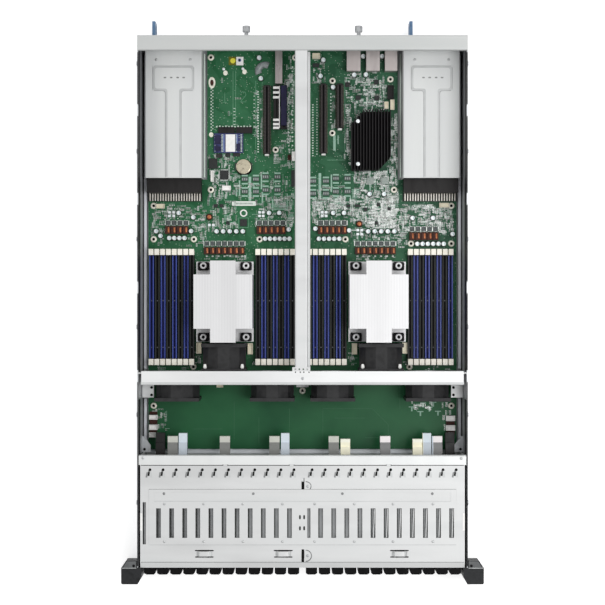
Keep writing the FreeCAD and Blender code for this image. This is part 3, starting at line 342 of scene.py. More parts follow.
finishes = {
    "sheet": (
        ("zinc_sheet", ((166, 169, 172), (182, 185, 187), (174, 177, 180)), 30, brushed, (0.34, 0.46), 0.35),
        ("psu_steel", ((146, 149, 152), (164, 167, 169), (155, 158, 161)), 50, even, (0.4, 0.54), 0.35),
        # Pale finish for the floor blocks: painted light
        ("liner_pale", ((226, 230, 236), (240, 243, 248)), 40, brushed, (0.4, 0.55), 0.1),
    ),
    "bright_sheet": (
        ("bright_sheet", ((216, 217, 217), (226, 227, 227), (220, 222, 222)), 24, (0.2, 1, 1), (0.36, 0.48),
         0.25),
        ("cage_sheet", ((206, 208, 208), (215, 217, 216), (210, 212, 212)), 18, brushed, (0.5, 0.62), 0.15),
        ("beam_sheet", ((211, 213, 213), (220, 222, 221), (215, 217, 217)), 18, brushed, (0.38, 0.48), 0.25),
        ("cover_sheet", ((199, 200, 200), (209, 210, 210), (204, 206, 206)), 24, (0.2, 1, 1), (0.38, 0.5), 0.2),
        ("bridge_sheet", ((186, 189, 188), (195, 197, 196), (190, 193, 192)), 18, (0.1, 1, 1), (0.38, 0.5),
         0.25),
        ("rivet_grey", ((168, 170, 170), (190, 192, 192)), 400, even, (0.3, 0.45), 0.5),
        ("hook_grey", ((96, 98, 98), (138, 140, 140)), 500, even, (0.3, 0.45), 0.4),
        ("slit_grey", ((112, 114, 114), (142, 144, 144)), 500, even, (0.4, 0.5), 0.2),
        ("press_grey", ((178, 180, 180), (192, 194, 194)), 60, even, (0.4, 0.5), 0.2),
        ("fold_grey", ((190, 192, 192), (202, 204, 204)), 60, even, (0.45, 0.58), 0.15),
        ("slot_shade", ((30, 31, 31), (56, 58, 58)), 200, even, (0.5, 0.6), 0, 0.2),
    ),
    "cooler": (
        ("cooler_metal", ((208, 208, 209), (222, 222, 223), (215, 215, 216)), 26, (1, 0.04, 1), (0.3, 0.42),
         0.25),
        ("fin_shade", ((198, 198, 199), (210, 210, 211)), 60, (1, 0.1, 1), (0.36, 0.5), 0.25),
    ),
    "black_plastic": (
        ("film_black", ((18, 18, 20), (34, 34, 37), (25, 25, 28)), 25, (1, 0.1, 1), (0.45, 0.6), 0, 0.2),
        ("black_socket", ((12, 14, 14), (24, 26, 25), (18, 19, 19)), 60, (1, 0.3, 1), (0.4, 0.55), 0, 0.2),
        ("black_edge", ((46, 48, 46), (60, 62, 60)), 50, (1, 0.3, 1), (0.36, 0.5), 0, 0.3),
        ("key_grey", ((70, 71, 78), (94, 95, 102)), 200, even, (0.36, 0.5)),
        ("fan_plastic", ((34, 34, 35), (48, 48, 49), (40, 40, 41)), 70, even, (0.42, 0.56), 0, 0.2, 0.08),
    ),
    "ear": (
        ("gusset_grey", ((84, 86, 87), (104, 106, 107)), 120, even, (0.42, 0.56), 0, 0.25),
        ("ear_coat", ((26, 27, 28), (40, 41, 43), (33, 34, 35)), 120, even, (0.42, 0.56), 0, 0.2, 0.1),
    ),
    "blue_plastic": (
        ("blue_plastic", ((11, 22, 88), (19, 34, 112), (15, 28, 100)), 40, (1, 0.2, 1), (0.34, 0.46), 0, 0.3),
        ("blue_edge", ((60, 80, 168), (82, 102, 188)), 40, (1, 0.2, 1), (0.3, 0.4)),
        ("navy_plastic", ((22, 20, 50), (36, 34, 70)), 90, even, (0.36, 0.5), 0, 0.25),
    ),
    "cream_plastic": (
        ("cream_latch", ((246, 239, 220), (254, 250, 238), (250, 245, 230)), 160, even, (0.34, 0.48)),
        ("plug_cream", ((222, 214, 190), (240, 234, 214)), 140, even, (0.38, 0.5)),
    ),
    "black_cooler": (
        ("black_cooler", ((8, 7, 8), (20, 18, 20), (13, 12, 14)), 50, (1, 0.1, 1), (0.36, 0.5), 0.2, 0.25),
    ),
    "cell": (
        ("cell_steel", ((158, 150, 130), (196, 188, 166), (178, 170, 148)), 220, even, (0.24, 0.4), 0.75),
        ("can_silver", ((214, 222, 224), (238, 243, 244), (228, 235, 237)), 180, even, (0.26, 0.4), 0.2),
        ("can_mark", ((140, 176, 182), (170, 200, 204)), 200, even, (0.3, 0.44), 0.1),
    ),
    "choke": (
        ("choke_ferrite", ((38, 18, 12), (70, 32, 20), (52, 24, 15)), 260, even, (0.46, 0.62), 0.05, 0.3, 0.1),
        ("choke_copper", ((122, 60, 32), (182, 108, 62), (152, 82, 46)), 300, even, (0.26, 0.4), 0.3),
    ),
    "jack": (
        ("tin_shell", ((172, 164, 163), (192, 184, 182), (183, 174, 172)), 60, (1, 0.2, 1), (0.26, 0.4), 0.4),
        ("pin_tin", ((184, 188, 186), (224, 226, 224), (206, 208, 206)), 260, even, (0.22, 0.36), 0.4),
        ("pin_bright", ((222, 216, 204), (246, 242, 234)), 200, even, (0.3, 0.44), 0.2),
        ("contact_dark", ((42, 38, 38), (74, 66, 63), (56, 51, 49)), 500, even, (0.4, 0.5), 0.2),
        ("tooth_brown", ((84, 74, 66), (132, 122, 110), (108, 97, 87)), 500, even, (0.3, 0.45), 0.3),
    ),
    "knob": (
        ("knob_steel", ((152, 154, 156), (182, 184, 186), (168, 170, 172)), 200, (1, 1, 0.1), (0.28, 0.42),
         0.6),
        ("screw_steel", ((226, 222, 204), (248, 245, 232), (238, 235, 220)), 260, even, (0.3, 0.44), 0.1),
    ),
    "lever": (
        ("lever_blue", ((66, 98, 132), (88, 120, 154), (76, 109, 143)), 120, even, (0.3, 0.42)),
    ),
    "button": (
        ("button_grey", ((66, 68, 72), (88, 90, 94)), 300, even, (0.3, 0.42)),
        ("lamp_green", ((70, 120, 82), (104, 156, 114)), 500, even, (0.2, 0.3)),
    ),
    "board": (
        ("backplane_mask", ((24, 66, 48), (34, 82, 58)), 30, even, (0.36, 0.5)),
        ("silk_white", ((186, 206, 192), (218, 230, 220), (202, 218, 207)), 900, even, (0.5, 0.7)),
        ("plane_green", ((44, 96, 64), (56, 108, 76)), 300, even, (0.4, 0.55), 0, 0.2),
        ("silk_faint", ((92, 142, 112), (116, 162, 134)), 500, even, (0.5, 0.7), 0, 0.2),
        ("silk_mint", ((126, 166, 146), (156, 190, 172), (142, 178, 158)), 300, even, (0.45, 0.6), 0, 0.2),
        ("label_white", ((234, 233, 230), (247, 246, 244)), 200, even, (0.5, 0.66)),
        ("label_yellow", ((214, 206, 46), (236, 228, 72)), 200, even, (0.5, 0.66)),
        ("sticker_olive", ((92, 92, 26), (116, 114, 36)), 200, even, (0.5, 0.66), 0, 0.2),
        ("mark_blue", ((112, 132, 190), (140, 158, 208)), 300, even, (0.4, 0.55)),
        ("card_blue", ((30, 33, 72), (52, 58, 108), (40, 45, 90)), 120, even, (0.36, 0.5), 0, 0.3),
    ),
    "socket": (
        ("socket_black", ((16, 15, 15), (28, 26, 26), (22, 20, 20)), 90, (1, 0.3, 1), (0.4, 0.56), 0, 0.25),
        ("can_base", ((12, 12, 12), (20, 20, 20)), 200, even, (0.4, 0.55), 0, 0.2),
        # Near black for the insides of holes, slots, throats and recesses: painted shade
        ("recess_black", ((4, 4, 4), (9, 9, 9)), 300, even, (0.4, 0.55), 0, 0.1),
        ("chip_resin", ((30, 32, 32), (46, 48, 48), (38, 40, 40)), 240, even, (0.4, 0.56), 0, 0.25),
        ("stage_grey", ((58, 64, 64), (86, 92, 92), (72, 78, 78)), 300, even, (0.34, 0.48), 0.1, 0.3),
        ("part_tan", ((84, 76, 62), (116, 106, 90)), 700),
        ("part_dark", ((16, 18, 18), (34, 36, 36)), 700, even, (0.4, 0.55), 0, 0.2),
        ("part_pale", ((168, 190, 178), (226, 232, 226), (198, 212, 202)), 700),
        ("part_grey", ((112, 126, 120), (158, 168, 162), (136, 148, 142)), 700),
    ),
    "plug": (
        ("clip_grey", ((104, 112, 112), (146, 152, 152), (124, 131, 131)), 160, even, (0.3, 0.45)),
    ),
}
for slot, rows in finishes.items():
    for name, *values in rows:
        finish(name, slot, *values)
# Each plug has a top tone and a front tone; the darker front tones are painted shade
grey_plug, white_plug = ((206, 207, 198), (134, 135, 132)), ((250, 244, 244), (136, 136, 136))
ice_plug, cream_plug = ((218, 228, 236), (202, 211, 220)), ((255, 254, 238), (253, 249, 224))
black_plug = ((20, 19, 19), (20, 19, 19))
plug_finish("plug_colours", "plug", (
    (-192.4, black_plug), (-175.6, grey_plug), (-161.8, ice_plug), (-105.1, grey_plug), (-37.9, grey_plug),
    (-23.4, ice_plug), (42.3, grey_plug), (58.0, cream_plug), (112.0, white_plug), (155.7, cream_plug),
    (168.4, ice_plug), (182.3, white_plug), (199.4, black_plug),
), -193.3)
solder_mask("board_mask", "board", [(16, 78, 46), (34, 96, 58), (24, 86, 52)], (74, 132, 98), (172, 188, 172))
carrier_finish("bezel_plastic", "black_plastic", [(9, 9, 10), (19, 19, 20), (13, 13, 14)],
               [(136, 138, 139), (156, 158, 159), (146, 148, 149)], -355.0)
cell_finish("cell_in_holder", "cell", [(146, 138, 118), (188, 180, 158), (168, 160, 138)],
            [(34, 44, 38), (52, 62, 54)], 10.2)

# Finishes of the CAD nodes
node_looks = {
    "base_pan": "zinc_sheet", "rear_panel": "zinc_sheet", "rear_bridge": "bridge_sheet",
    "centre_brace": "cover_sheet", "fan_wall": "bright_sheet", "drive_cage": "beam_sheet",
    "cage_cover": "cover_sheet", "backplane": "backplane_mask", "backplane_plugs": "plug_colours",
    "main_board": "board_mask", "cpu_sockets": "socket_black", "cpu_heatsinks": "cooler_metal",
    "dimm_sockets_blue": "blue_plastic", "dimm_sockets_black": "black_socket",
    "dimm_latches_rear": "cream_latch", "dimm_latches_front": "cream_latch", "board_sockets": "socket_black",
    "chipset_heatsink": "black_cooler", "coin_cell": "cell_in_holder", "power_chokes": "choke_ferrite",
    "rear_jacks": "tin_shell", "psu_cages": "cage_sheet", "fan_frames": "fan_plastic", "rack_ears": "ear_coat",
    "thumbscrews": "knob_steel", "power_button": "button_grey", "psu_left": "psu_steel",
    "psu_right": "psu_steel", "psu_latch_left": "lever_blue", "psu_latch_right": "lever_blue",
}
for name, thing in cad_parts.items():
    look = node_looks.get(name, "fan_plastic" if name.startswith("fan_rotor") else "bezel_plastic")
    thing.data.materials.clear()
    thing.data.materials.append(looks[look][0])


def piece(name, shape, look, body="chassis", crease=0.7):
    """Mesh object of a shape, in metres, with its finish, riding on a body."""
    points, faces = shape
    mesh = bpy.data.meshes.new(name)
    mesh.from_pydata((points * mm).tolist(), [], [face for group in faces for face in group.tolist()])
    mesh.shade_smooth()
    mesh.set_sharp_from_angle(angle=crease)
    material, slot = looks[look]
    mesh.materials.append(material)
    thing = bpy.data.objects.new(name, mesh)
    bpy.context.scene.collection.objects.link(thing)
    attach(thing, body)


def set_out(name, shape, places, look, body="chassis"):
    """Copies of a shape, one at each place, as one piece."""
    piece(name, copies(shape, places), look, body)


# Levels and places read from the frame
deck = span("main_board")[1][2]
inside = span("rear_panel")[1][0]
cover_low, cover_high = span("cage_cover")
panel_top = cover_high[2]
cover_top = panel_top - 0.5
cooler_half = 39.2
cpu_places = (span("cpu_heatsinks")[0][0] + cooler_half, span("cpu_heatsinks")[1][0] - cooler_half)
dimm_first, dimm_pitch, dimms_per_bank = 45.2, 7.9, 8
psu_x = span("psu_right")[0][0] + 37.3


def on_deck(places):
    """Flat places (x, y) as points on top of the main board."""
    return at_level(places, deck)


def on_board(name, shape, places, look):
    """Copies of a shape standing on the main board, as one piece."""
    set_out(name, shape, on_deck(places), look)


def strip(start, end, width, rise=0.08):
    """Flat printed strip from one place to another, lying on the board."""
    return carried(flat_bar(width / 2, rise), on_deck([start, end]))


def cup(width, length, height, wall=0.8, depth=2.5):
    """Open connector shell: up the outside, over the rim and down to the floor of its mouth."""
    return moulding(width, length, [(0, 0), (0, height), (wall, height), (wall + 0.1, height - depth)])


def rounded(corners, radius, steps=5):
    """Corners rounded off: each gives (1 - t)^2 a + 2 t (1 - t) corner + t^2 b, a and b on its two sides."""
    corners = np.asarray(corners, float)
    before, after = np.roll(corners, 1, 0) - corners, np.roll(corners, -1, 0) - corners
    a = corners + radius * before / np.linalg.norm(before, axis=1, keepdims=True)
    b = corners + radius * after / np.linalg.norm(after, axis=1, keepdims=True)
    t = np.linspace(0, 1, steps + 1)[None, :, None]
    curve = (1 - t) ** 2 * a[:, None] + 2 * t * (1 - t) * corners[:, None] + t ** 2 * b[:, None]
    return curve.reshape(-1, 2)


def spanned(ranges, make):
    """One shape for each (x0, x1, y0, y1, height) range on the board, made by a function of its size."""
    shapes = []
    for x0, x1, y0, y1, height in ranges:
        shapes.append(copies(make(x1 - x0, y1 - y0, height), ((x0 + x1) / 2, (y0 + y1) / 2, deck)))
    return joined(*shapes)


# Painted shade on the side walls: dark sheets above and below a bare line and along the top edge. Pale blocks
# on the floor beside the walls and in front of the board are painted light
shade_bands = ((2.0, 21.0), (56.0, 81.4))
shade_runs = ((-354.0, -134.0), (-97.0, 336.0))
notch_rear = 260.0 - 118.0 * np.arange(4)
edge_stops = np.concatenate([[329.0], np.column_stack([notch_rear, notch_rear - 16.0]).ravel(), [-355.0]])
edge_runs = [(low, high) for high, low in edge_stops.reshape(-1, 2) if high - low > 2]
wall_shade, top_shade, light_strips = [], [], []
# Dark sheets on the inner walls and along their top edges: painted shade
for way, sign in (("left", 1), ("right", -1)):
    for y0, y1 in shade_runs:
        for low, high in shade_bands:
            sheet = plate(high - low, y1 - y0, 0.3)
            wall_shade.append(copies(tipped(sheet, way), (sign * inside, (y0 + y1) / 2, (low + high) / 2)))
    for y0, y1 in edge_runs:
        top_shade.append(copies(block(1.1, y1 - y0, 0.25, 0.1), (sign * (inside + 0.6), (y0 + y1) / 2, cover_top)))
        if y0 > -100:
            strip_sheet = plate(3.2, y1 - y0, 0.3)
            wall_shade.append(copies(tipped(strip_sheet, way), (sign * inside, (y0 + y1) / 2, 83.0)))
    # Pale blocks on the floor beside the walls and in front of the board: painted light on the shaded floor
    for y0, y1 in ((-204.0, -136.0), (-95.0, 336.0)):
        light_strips.append(copies(block(3.8, y1 - y0, 7.6, 0.3), (sign * 216.2, (y0 + y1) / 2, 1.2)))
light_strips.append(copies(block(420.0, 6.4, 5.0, 0.3), (0, -209.0, 1.2)))
piece("wall_painted_shade", joined(*wall_shade), "film_black")
piece("wall_top_shade", joined(*top_shade), "film_black")
piece("floor_painted_light", joined(*light_strips), "liner_pale")
stud_head = lathe([(2.2, 0), (2.2, 1.6), (3.6, 1.8), (3.6, 3.0), (2.8, 3.4), (1.0, 3.4)], 18)
stud_reach = span("base_pan")[1][0]
stud_y = 320.0 - 119.0 * np.arange(6)
studs = [copies(tipped(stud_head, way), [(sign * (stud_reach - 0.6), y, 44.0) for y in stud_y])
         for way, sign in (("right", 1), ("left", -1))]
piece("rail_stud_heads", joined(*studs), "knob_steel")

# Board screws: a domed head with a deep round socket
screw_places = [
    (-204.7, 83), (-149.4, 83), (-59, 83), (59, 83), (149.4, 77), (204.7, 77), (-204.7, 129), (204.7, 129),
    (-126, 151), (126, 151), (-126, 333), (126, 333), (-204.7, -146), (204.7, -146), (0, -125.3), (-10, 333),
    (-37, 206), (41, 229), (-150, -92.5), (147, -92.5), (41.3, 300.8), (121, 303),
]
screw_head = lathe([(4.4, 0), (4.5, 0.5), (4.2, 1.2), (3.4, 1.7), (2.2, 1.8), (2.0, 1.6), (2.0, 0.5)])
on_board("board_screws", screw_head, screw_places, "screw_steel")
socket_floor = lathe([(1.98, 0.5), (1.98, 0.62), (0.4, 0.62)], 12)
on_board("board_screw_sockets", socket_floor, screw_places, "recess_black")

# Polymer capacitors: a can with a crimped foot and a rimmed top, on a dark base
can_rows = (
    (-183, -162, 84.5, 4), (-118, -82, 93.7, 5), (-51.5, -18, 83.5, 6), (22.4, 50.5, 83.5, 5),
    (90, 126, 93.7, 5), (157.5, 193.8, 76.5, 6),
)
can_singles = [
    (-170, 119), (-150, 113), (-46, 119), (-32, 119), (42, 119), (57, 119), (92, 145), (112, 145), (151, 112),
    (179, 112), (-201, 94), (-195, 87.5), (-153, 94), (64, 95), (-59.6, 332), (-57.3, 303.6), (28.5, 329),
    (24.6, 307), (41.8, 291.5), (83.2, 334), (109.2, 334), (70.9, 308.6), (87, 308.9), (206, 90), (-19, 96.3),
    (17.6, 97.4),
]
cans = list(can_singles)
for first, last, y, count in can_rows:
    cans += [(x, y) for x in np.linspace(first, last, count)]
can_profile = [(3.1, 0.8), (3.1, 1.3), (2.8, 1.6), (3.1, 2.0), (3.1, 7.0), (2.8, 7.6), (2.3, 7.6), (2.1, 7.4)]
on_board("capacitor_cans", lathe(can_profile, 16), cans, "can_silver")
mark_turn = np.linspace(-1.15, 1.15, 9)
mark_edge = 2.0 * np.column_stack([np.cos(mark_turn), np.sin(mark_turn)])
on_board("capacitor_marks", slab(mark_edge, 7.38, 7.46), cans, "can_mark")
can_base = moulding(6.6, 6.6, [(0, 0), (0, 0.8), (0.2, 1.0)], 1.0, 2)
on_board("capacitor_bases", can_base, cans, "can_base")
pairs = [(-59, 120), (-54, 120), (-59, 115), (-54, 115), (27, 120), (32.5, 120), (27, 115), (32.5, 115),
         (76, 95.5), (81.5, 95.5), (76, 90), (81.5, 90), (-183, 120), (-177, 120), (-183, 115), (-177, 115),
         (-128, 102.5), (-122.5, 102.5)]
on_board("square_capacitors", moulding(4.0, 3.6, [(0, 0), (0, 2.2), (0.4, 2.6)], 0.8, 2), pairs, "can_silver")

# Chokes get copper straps; each has a power stage with tin tabs and rails behind it, and the chokes of the two
# long rows a small part in front
choke_pitch = 8.1
choke_rows = (
    (-107.4, 67.1, 7), (100.0, 67.1, 7), (-172.6, 95.6, 4), (-43.1, 95.6, 5), (41.1, 95.6, 5), (166.7, 87.2, 5),
)
chokes = []
for middle, y, count in choke_rows:
    chokes += [(middle + (n - (count - 1) / 2) * choke_pitch, y) for n in range(count)]
chokes = np.array(chokes)
choke_top = span("power_chokes")[1][2] - deck
lift = np.array([0, 0, choke_top])
strap = moulding(2.4, 7.0, [(0, 0), (0, 0.2), (0.3, 0.4)], 0.8, 2)
set_out("choke_straps", strap, on_deck(chokes) + lift + [0.9, 0, 0], "choke_copper")
feet = chokes[:14] - [0, 7.4]
on_board("choke_feet", block(2.6, 2.0, 0.6), feet, "part_pale")
stages = chokes + [0, 10.0]
on_board("power_stages", block(5.2, 5.6, 1.1), stages, "stage_grey")
tab = joined(*[copies(block(0.7, 1.2, 0.5, 0.1), (x, y, 0)) for x in (-2, -0.7, 0.7, 2) for y in (-3.3, 3.3)])
on_board("power_stage_tabs", tab, stages, "pin_tin")
between = [choke_pitch / 2, 0]
rails = np.unique(np.concatenate([chokes - between, chokes + between]).round(2), axis=0)
on_board("power_stage_rails", block(1.3, 6.4, 0.7, 0.1), rails + [0, 10.0], "pin_tin")
red_chokes = [(-128, 113.5), (78, 104)]
on_board("round_chokes", lathe([(4.2, 0), (4.6, 1.0), (4.6, 4.0), (3.6, 5.0)], 18), red_chokes, "choke_ferrite")
on_board("round_choke_caps", lathe([(2.6, 5.0), (2.6, 5.2), (1.8, 5.4)], 14), red_chokes, "choke_copper")

# Chips: resin bodies with a bevelled top, the large one with legs on four sides
chip_ranges = (
    (-113.6, -101.8, 165.2, 177.6, 1.6), (-15.4, 4.0, 155, 178, 1.8), (-105.0, -100.2, 103, 108, 1.2),
    (98.4, 104.6, 296, 302.6, 1.2), (98.7, 105.6, 274, 280.6, 1.2), (58.6, 65.2, 292.5, 299, 1.2),
    (73.2, 80.2, 274.6, 281, 1.2), (102, 106.6, 128.2, 132.8, 1.0), (116.8, 121.4, 122.6, 127.2, 1.0),
    (99.2, 103.8, 103.2, 107.8, 1.0), (14, 23, 319.5, 325, 1.2), (-129, -117, 180, 194, 2.2),
    (-122, -116.5, 126.6, 131.4, 1.0), (-114, -108.5, 126.6, 131.4, 1.0), (-86, -76.4, 101, 110.6, 1.2),
    (84, 89.4, 121.5, 126.5, 1.0), (72, 79, 127, 131, 1.0), (60, 66, 127, 131, 1.0),
    (-118.6, -110.4, 195.0, 200.6, 1.2), (-106.0, -99.4, 196.2, 201.4, 1.0), (-95.4, -86.0, 196.8, 201.6, 1.0),
)
piece("chips", spanned(chip_ranges, block), "chip_resin")
leg = block(0.55, 2.4, 0.4, 0.1)
leg_line = np.linspace(-4.8, 4.8, 13)
legs = [copies(leg, [(x, side * 7.0, 0) for x in leg_line]) for side in (-1, 1)]
legs += [copies(leg, [(side * 6.7, y, 0) for y in leg_line], math.pi / 2) for side in (-1, 1)]
on_board("chip_legs", joined(*legs), [(-107.7, 171.4)], "pin_tin")

# Regulator groups: a flat chip between two bright bars, in two rows of four on each half of the board
group_places = [(x, y - 17 * row - slant) for row in (0, 1) for x, y, slant in (
    (-79.5, 165.6, 0), (-64.1, 165.6, 0), (-50.9, 168.9, row), (-34.4, 168.9, row),
    (14.6, 163, 0), (32.2, 163, 0), (45.9, 166.7, row), (62, 166.7, row))]
on_board("regulators", block(8.6, 5.6, 1.2), group_places, "stage_grey")
groups = np.array(group_places)
on_board("regulator_bars", block(8.4, 2.2, 0.9), np.concatenate([groups - [0, 6.2], groups + [0, 5.0]]),
         "silk_mint")
seam_bars = [(x, y) for x, y in groups for x in (x - 2.8, x, x + 2.8)]
set_out("regulator_pads", block(1.6, 3.2, 0.5, 0.1), on_deck(seam_bars) + [0, 0, 1.0], "part_grey")
bars = [((-72.4, 136), (-72.4, 169), 3.6), ((-56.5, 152), (-56.5, 172), 1.8), ((-55.2, 133), (-55.2, 148), 1.8),
        ((-86.6, 142), (-86.6, 164), 2.0), ((-90.5, 142), (-90.5, 154), 1.4), ((23.9, 138), (23.9, 174), 3.6),
        ((39.8, 148), (39.8, 172), 2.0), ((44, 205), (44, 226), 3.4), ((49, 214), (49, 226), 1.4),
        ((93, 150), (93, 174), 1.6), ((100, 158), (100, 174), 1.6), ((-21, 122), (-21, 146), 1.0),
        ((-41, 122), (-41, 138), 1.6), ((66, 120), (66, 142), 1.2), ((18, 128), (18, 142), 1.0)]
combs = ((-40, -22, 124, 132), (-20, -12.5, 112, 118), (44, 58, 130, 142), (-108, -100, 108, 116),
         (68, 78, 140, 152))
for x0, x1, y0, y1 in combs:
    bars += [((x0, y), (x1, y), 0.8) for y in np.arange(y0, y1, 1.9)]
piece("board_bars", joined(*[strip(*bar, rise=0.5) for bar in bars]), "silk_mint")
piece("metal_blocks", spanned(((89, 98, 158.6, 168, 2.4), (108.6, 117.6, 158.6, 168, 2.4)), block), "part_grey")

# Small parts strewn over zones of the board: zone, number, share of bright ones
zones = (
    ((-130, -112, 92, 150), 60, 0.5), ((-112, -92, 98, 150), 50, 0.5), ((-128, -96, 155, 198), 90, 0.6),
    ((-96, -60, 186, 200), 16, 0.5), ((-66, -12, 100, 112), 40, 0.7), ((-60, -14, 122, 142), 50, 0.6),
    ((-40, -13, 180, 230), 90, 0.6), ((-24, -12, 232, 330), 60, 0.7), ((13, 60, 122, 150), 90, 0.6),
    ((13, 36, 298, 335), 50, 0.5), ((58, 84, 262, 312), 110, 0.6), ((84, 116, 260, 308), 330, 0.75),
    ((116, 130, 178, 262), 110, 0.6), ((66, 132, 105, 150), 300, 0.75), ((80, 130, 150, 176), 170, 0.75),
    ((96, 128, 98, 136), 240, 0.75), ((66, 132, 76, 100), 120, 0.7), ((132, 208, 100, 130), 150, 0.55),
    ((132, 158, 72, 100), 60, 0.6), ((-208, -132, 100, 130), 110, 0.55), ((-208, -188, 74, 100), 30, 0.6),
    ((-160, -132, 72, 100), 40, 0.6), ((-136, -78, 55, 61), 40, 0.8), ((74, 128, 55, 61), 40, 0.8),
    ((-152, -140, -92, -72), 30, 0.6), ((-70, -60, -92, -80), 16, 0.6), ((62, 72, -92, -72), 24, 0.6),
    ((138, 150, -92, -78), 20, 0.6), ((-208, -188, -196, -150), 30, 0.6), ((194, 208, -196, -150), 24, 0.6),
    ((-210, -150, -99, -88), 30, 0.5), ((150, 208, -99, -88), 24, 0.5), ((-124, -70, 240, 330), 12, 0.5),
    ((86, 132, 96, 150), 420, 0.6), ((13, 84, 102, 156), 260, 0.55), ((-66, -12, 104, 176), 200, 0.5),
    ((-96, -66, 138, 172), 60, 0.5), ((132, 208, 92, 130), 160, 0.55), ((-130, -88, 92, 200), 150, 0.5),
    ((-208, -134, 92, 128), 120, 0.45), ((60, 116, 256, 312), 160, 0.5), ((-34, -12, 176, 300), 90, 0.55),
    ((-112, -86, 192, 202), 24, 0.1), ((158, 208, 90, 130), 150, 0.6), ((150, 204, -152, -138), 70, 0.8),
    ((-196, -186, -192, -156), 30, 0.7),
    ((-22, -12, 200, 335), 170, 0.7), ((-67, -62, 200, 292), 50, 0.55), ((-58, -54.5, 200, 290), 40, 0.5),
    ((40, 46, 236, 300), 40, 0.6), ((60, 78, 196, 262), 60, 0.5),
    ((56, 67, 184, 262), 130, 0.55), ((119, 132, 168, 255), 170, 0.55), ((12.5, 26, 298, 335), 60, 0.55),
    ((13, 70, 116, 142), 160, 0.5), ((70, 118, 158, 178), 130, 0.55), ((-122, -84, 192, 203), 110, 0.35),
)
keep_clear = [(x, y, 5.6) for x, y in screw_places] + [(x, y, 4.4) for x, y in cans]
keep_clear += [((x0 + x1) / 2, (y0 + y1) / 2, max(x1 - x0, y1 - y0) * 0.62)
               for x0, x1, y0, y1, height in chip_ranges]
keep_clear += [(x, y, 7.0) for x, y in group_places] + [(x, y, 5.4) for x, y in stages]
keep_clear = np.array(keep_clear + [(-81, 182.7, 13.5), (-81, 119, 6.0)])
per_row = 4
row_step = np.arange(per_row) - (per_row - 1) / 2
spots, bright, turns, sizes, prints = [], [], [], [], []
for (x0, x1, y0, y1), number, share in zones:
    crowding = 7 if 60 < y0 < 160 else 4
    rows = -(-number * crowding // 16)
    middle = np.column_stack([draw.uniform(x0, x1, rows), draw.uniform(y0, y1, rows)])
    share_across = 0.2 if y1 - y0 > 2.5 * (x1 - x0) else 0.55
    across = draw.random(rows) < share_across
    pitch = draw.uniform(1.5, 2.3, rows)
    run = row_step * pitch[:, None]
    offset = np.stack([np.where(across[:, None], run, 0), np.where(across[:, None], 0, run)], -1)
    place = (middle[:, None] + offset).reshape(-1, 2)
    within = ((place >= [x0, y0]) & (place <= [x1, y1])).all(1)
    row_size = np.column_stack([draw.uniform(0.5, 1.0, rows), draw.uniform(0.65, 1.0, rows),
                                draw.uniform(0.8, 1.3, rows)])
    spots.append(place[within])
    bright.append(np.repeat(draw.random(rows) < share, per_row)[within])
    turns.append(np.repeat(np.where(across, math.pi / 2, 0.0), per_row)[within])
    sizes.append(np.repeat(row_size, per_row, 0)[within])
    shift = np.where(across[:, None], [[0, 1.7]], [[1.7, 0]])
    outlined = draw.random(rows) < 0.45
    prints.append(np.column_stack([middle + shift, (per_row - 1) * pitch + 1.4, across])[outlined])
spots, bright, turns, sizes = [np.concatenate(part) for part in (spots, bright, turns, sizes)]
prints = np.concatenate(prints)


def clear_of(places):
    """Places that keep their distance from every screw, can, chip and regulator."""
    apart = np.hypot(places[:, None, 0] - keep_clear[:, 0], places[:, None, 1] - keep_clear[:, 1])
    return (apart > keep_clear[:, 2]).all(1)


bank_near, bank_far = 41.0, 104.6
swing_front, swing_rear = -91.0, -80.0
from_cpu = np.abs(spots[:, :1] - np.array(cpu_places))
in_bank = ((from_cpu > bank_near) & (from_cpu < bank_far)).any(1)
under_latch = in_bank & (spots[:, 1] > swing_front) & (spots[:, 1] < swing_rear)
free = clear_of(spots) & ~under_latch
spots, bright, turns, sizes = spots[free], bright[free], turns[free], sizes[free]
prints = prints[clear_of(prints[:, :2])]
print_size = side_by_side(prints[:, 2], 1, 1)
print_turn = np.where(prints[:, 3] > 0.5, 0.0, math.pi / 2)
printed_rows = copies(plate(1.0, 0.4, 0.1), on_deck(prints[:, :2]), print_turn, print_size)
piece("part_outlines", printed_rows, "silk_mint")
small_end = plate(0.6, 1.1, 0.7)
small_ends = copies(small_end, [(-0.9, 0, 0), (0.9, 0, 0)])
small_body = plate(1.3, 1.0, 0.65)
piece("small_part_ends", copies(small_ends, on_deck(spots), turns, sizes), "pin_tin")
long, wide = sizes[:, 1] > 0.83, sizes[:, 0] > 0.88
tints = (("part_pale", bright & long), ("part_grey", bright & ~long),
         ("part_tan", ~bright & wide), ("part_dark", ~bright & ~wide))
for tint, chosen in tints:
    piece("small_" + tint, copies(small_body, on_deck(spots[chosen]), turns[chosen], sizes[chosen]), tint)

# Printed marks beside the card slots: columns of short dashes, lines and two plain numbers
columns = (
    (-61, 286, 200, 3.6, 2.0, 1.4), (-13.8, 320, 205, 6.0, 2.0, 1.8), (-19, 285, 205, 4.6, 1.5, 1.2),
    (14.2, 268, 196, 3.5, 1.9, 1.4), (19.9, 276, 198, 3.8, 1.5, 1.2), (39, 283, 240, 4.4, 2.0, 1.2),
    (62, 264, 196, 3.6, 2.2, 1.4), (-125.6, 290, 231, 4.4, 1.7, 1.7), (-123.4, 287.8, 231, 4.4, 1.5, 1.2),
    (-93.7, 263, 238, 4.4, 2.6, 0.8), (-66.5, 280, 236, 5.2, 1.6, 1.0),
)
dashes = []
for x, first, last, pitch, width, length in columns:
    rows = np.arange(first, last, -pitch)
    dash = plate(width, length, 0.12)
    dashes.append(copies(dash, on_deck(side_by_side(x, rows))))
pads = [(x, 237.8 + 0.6 * (n % 2)) for n, x in enumerate(np.arange(-118, -70, 4.2))]
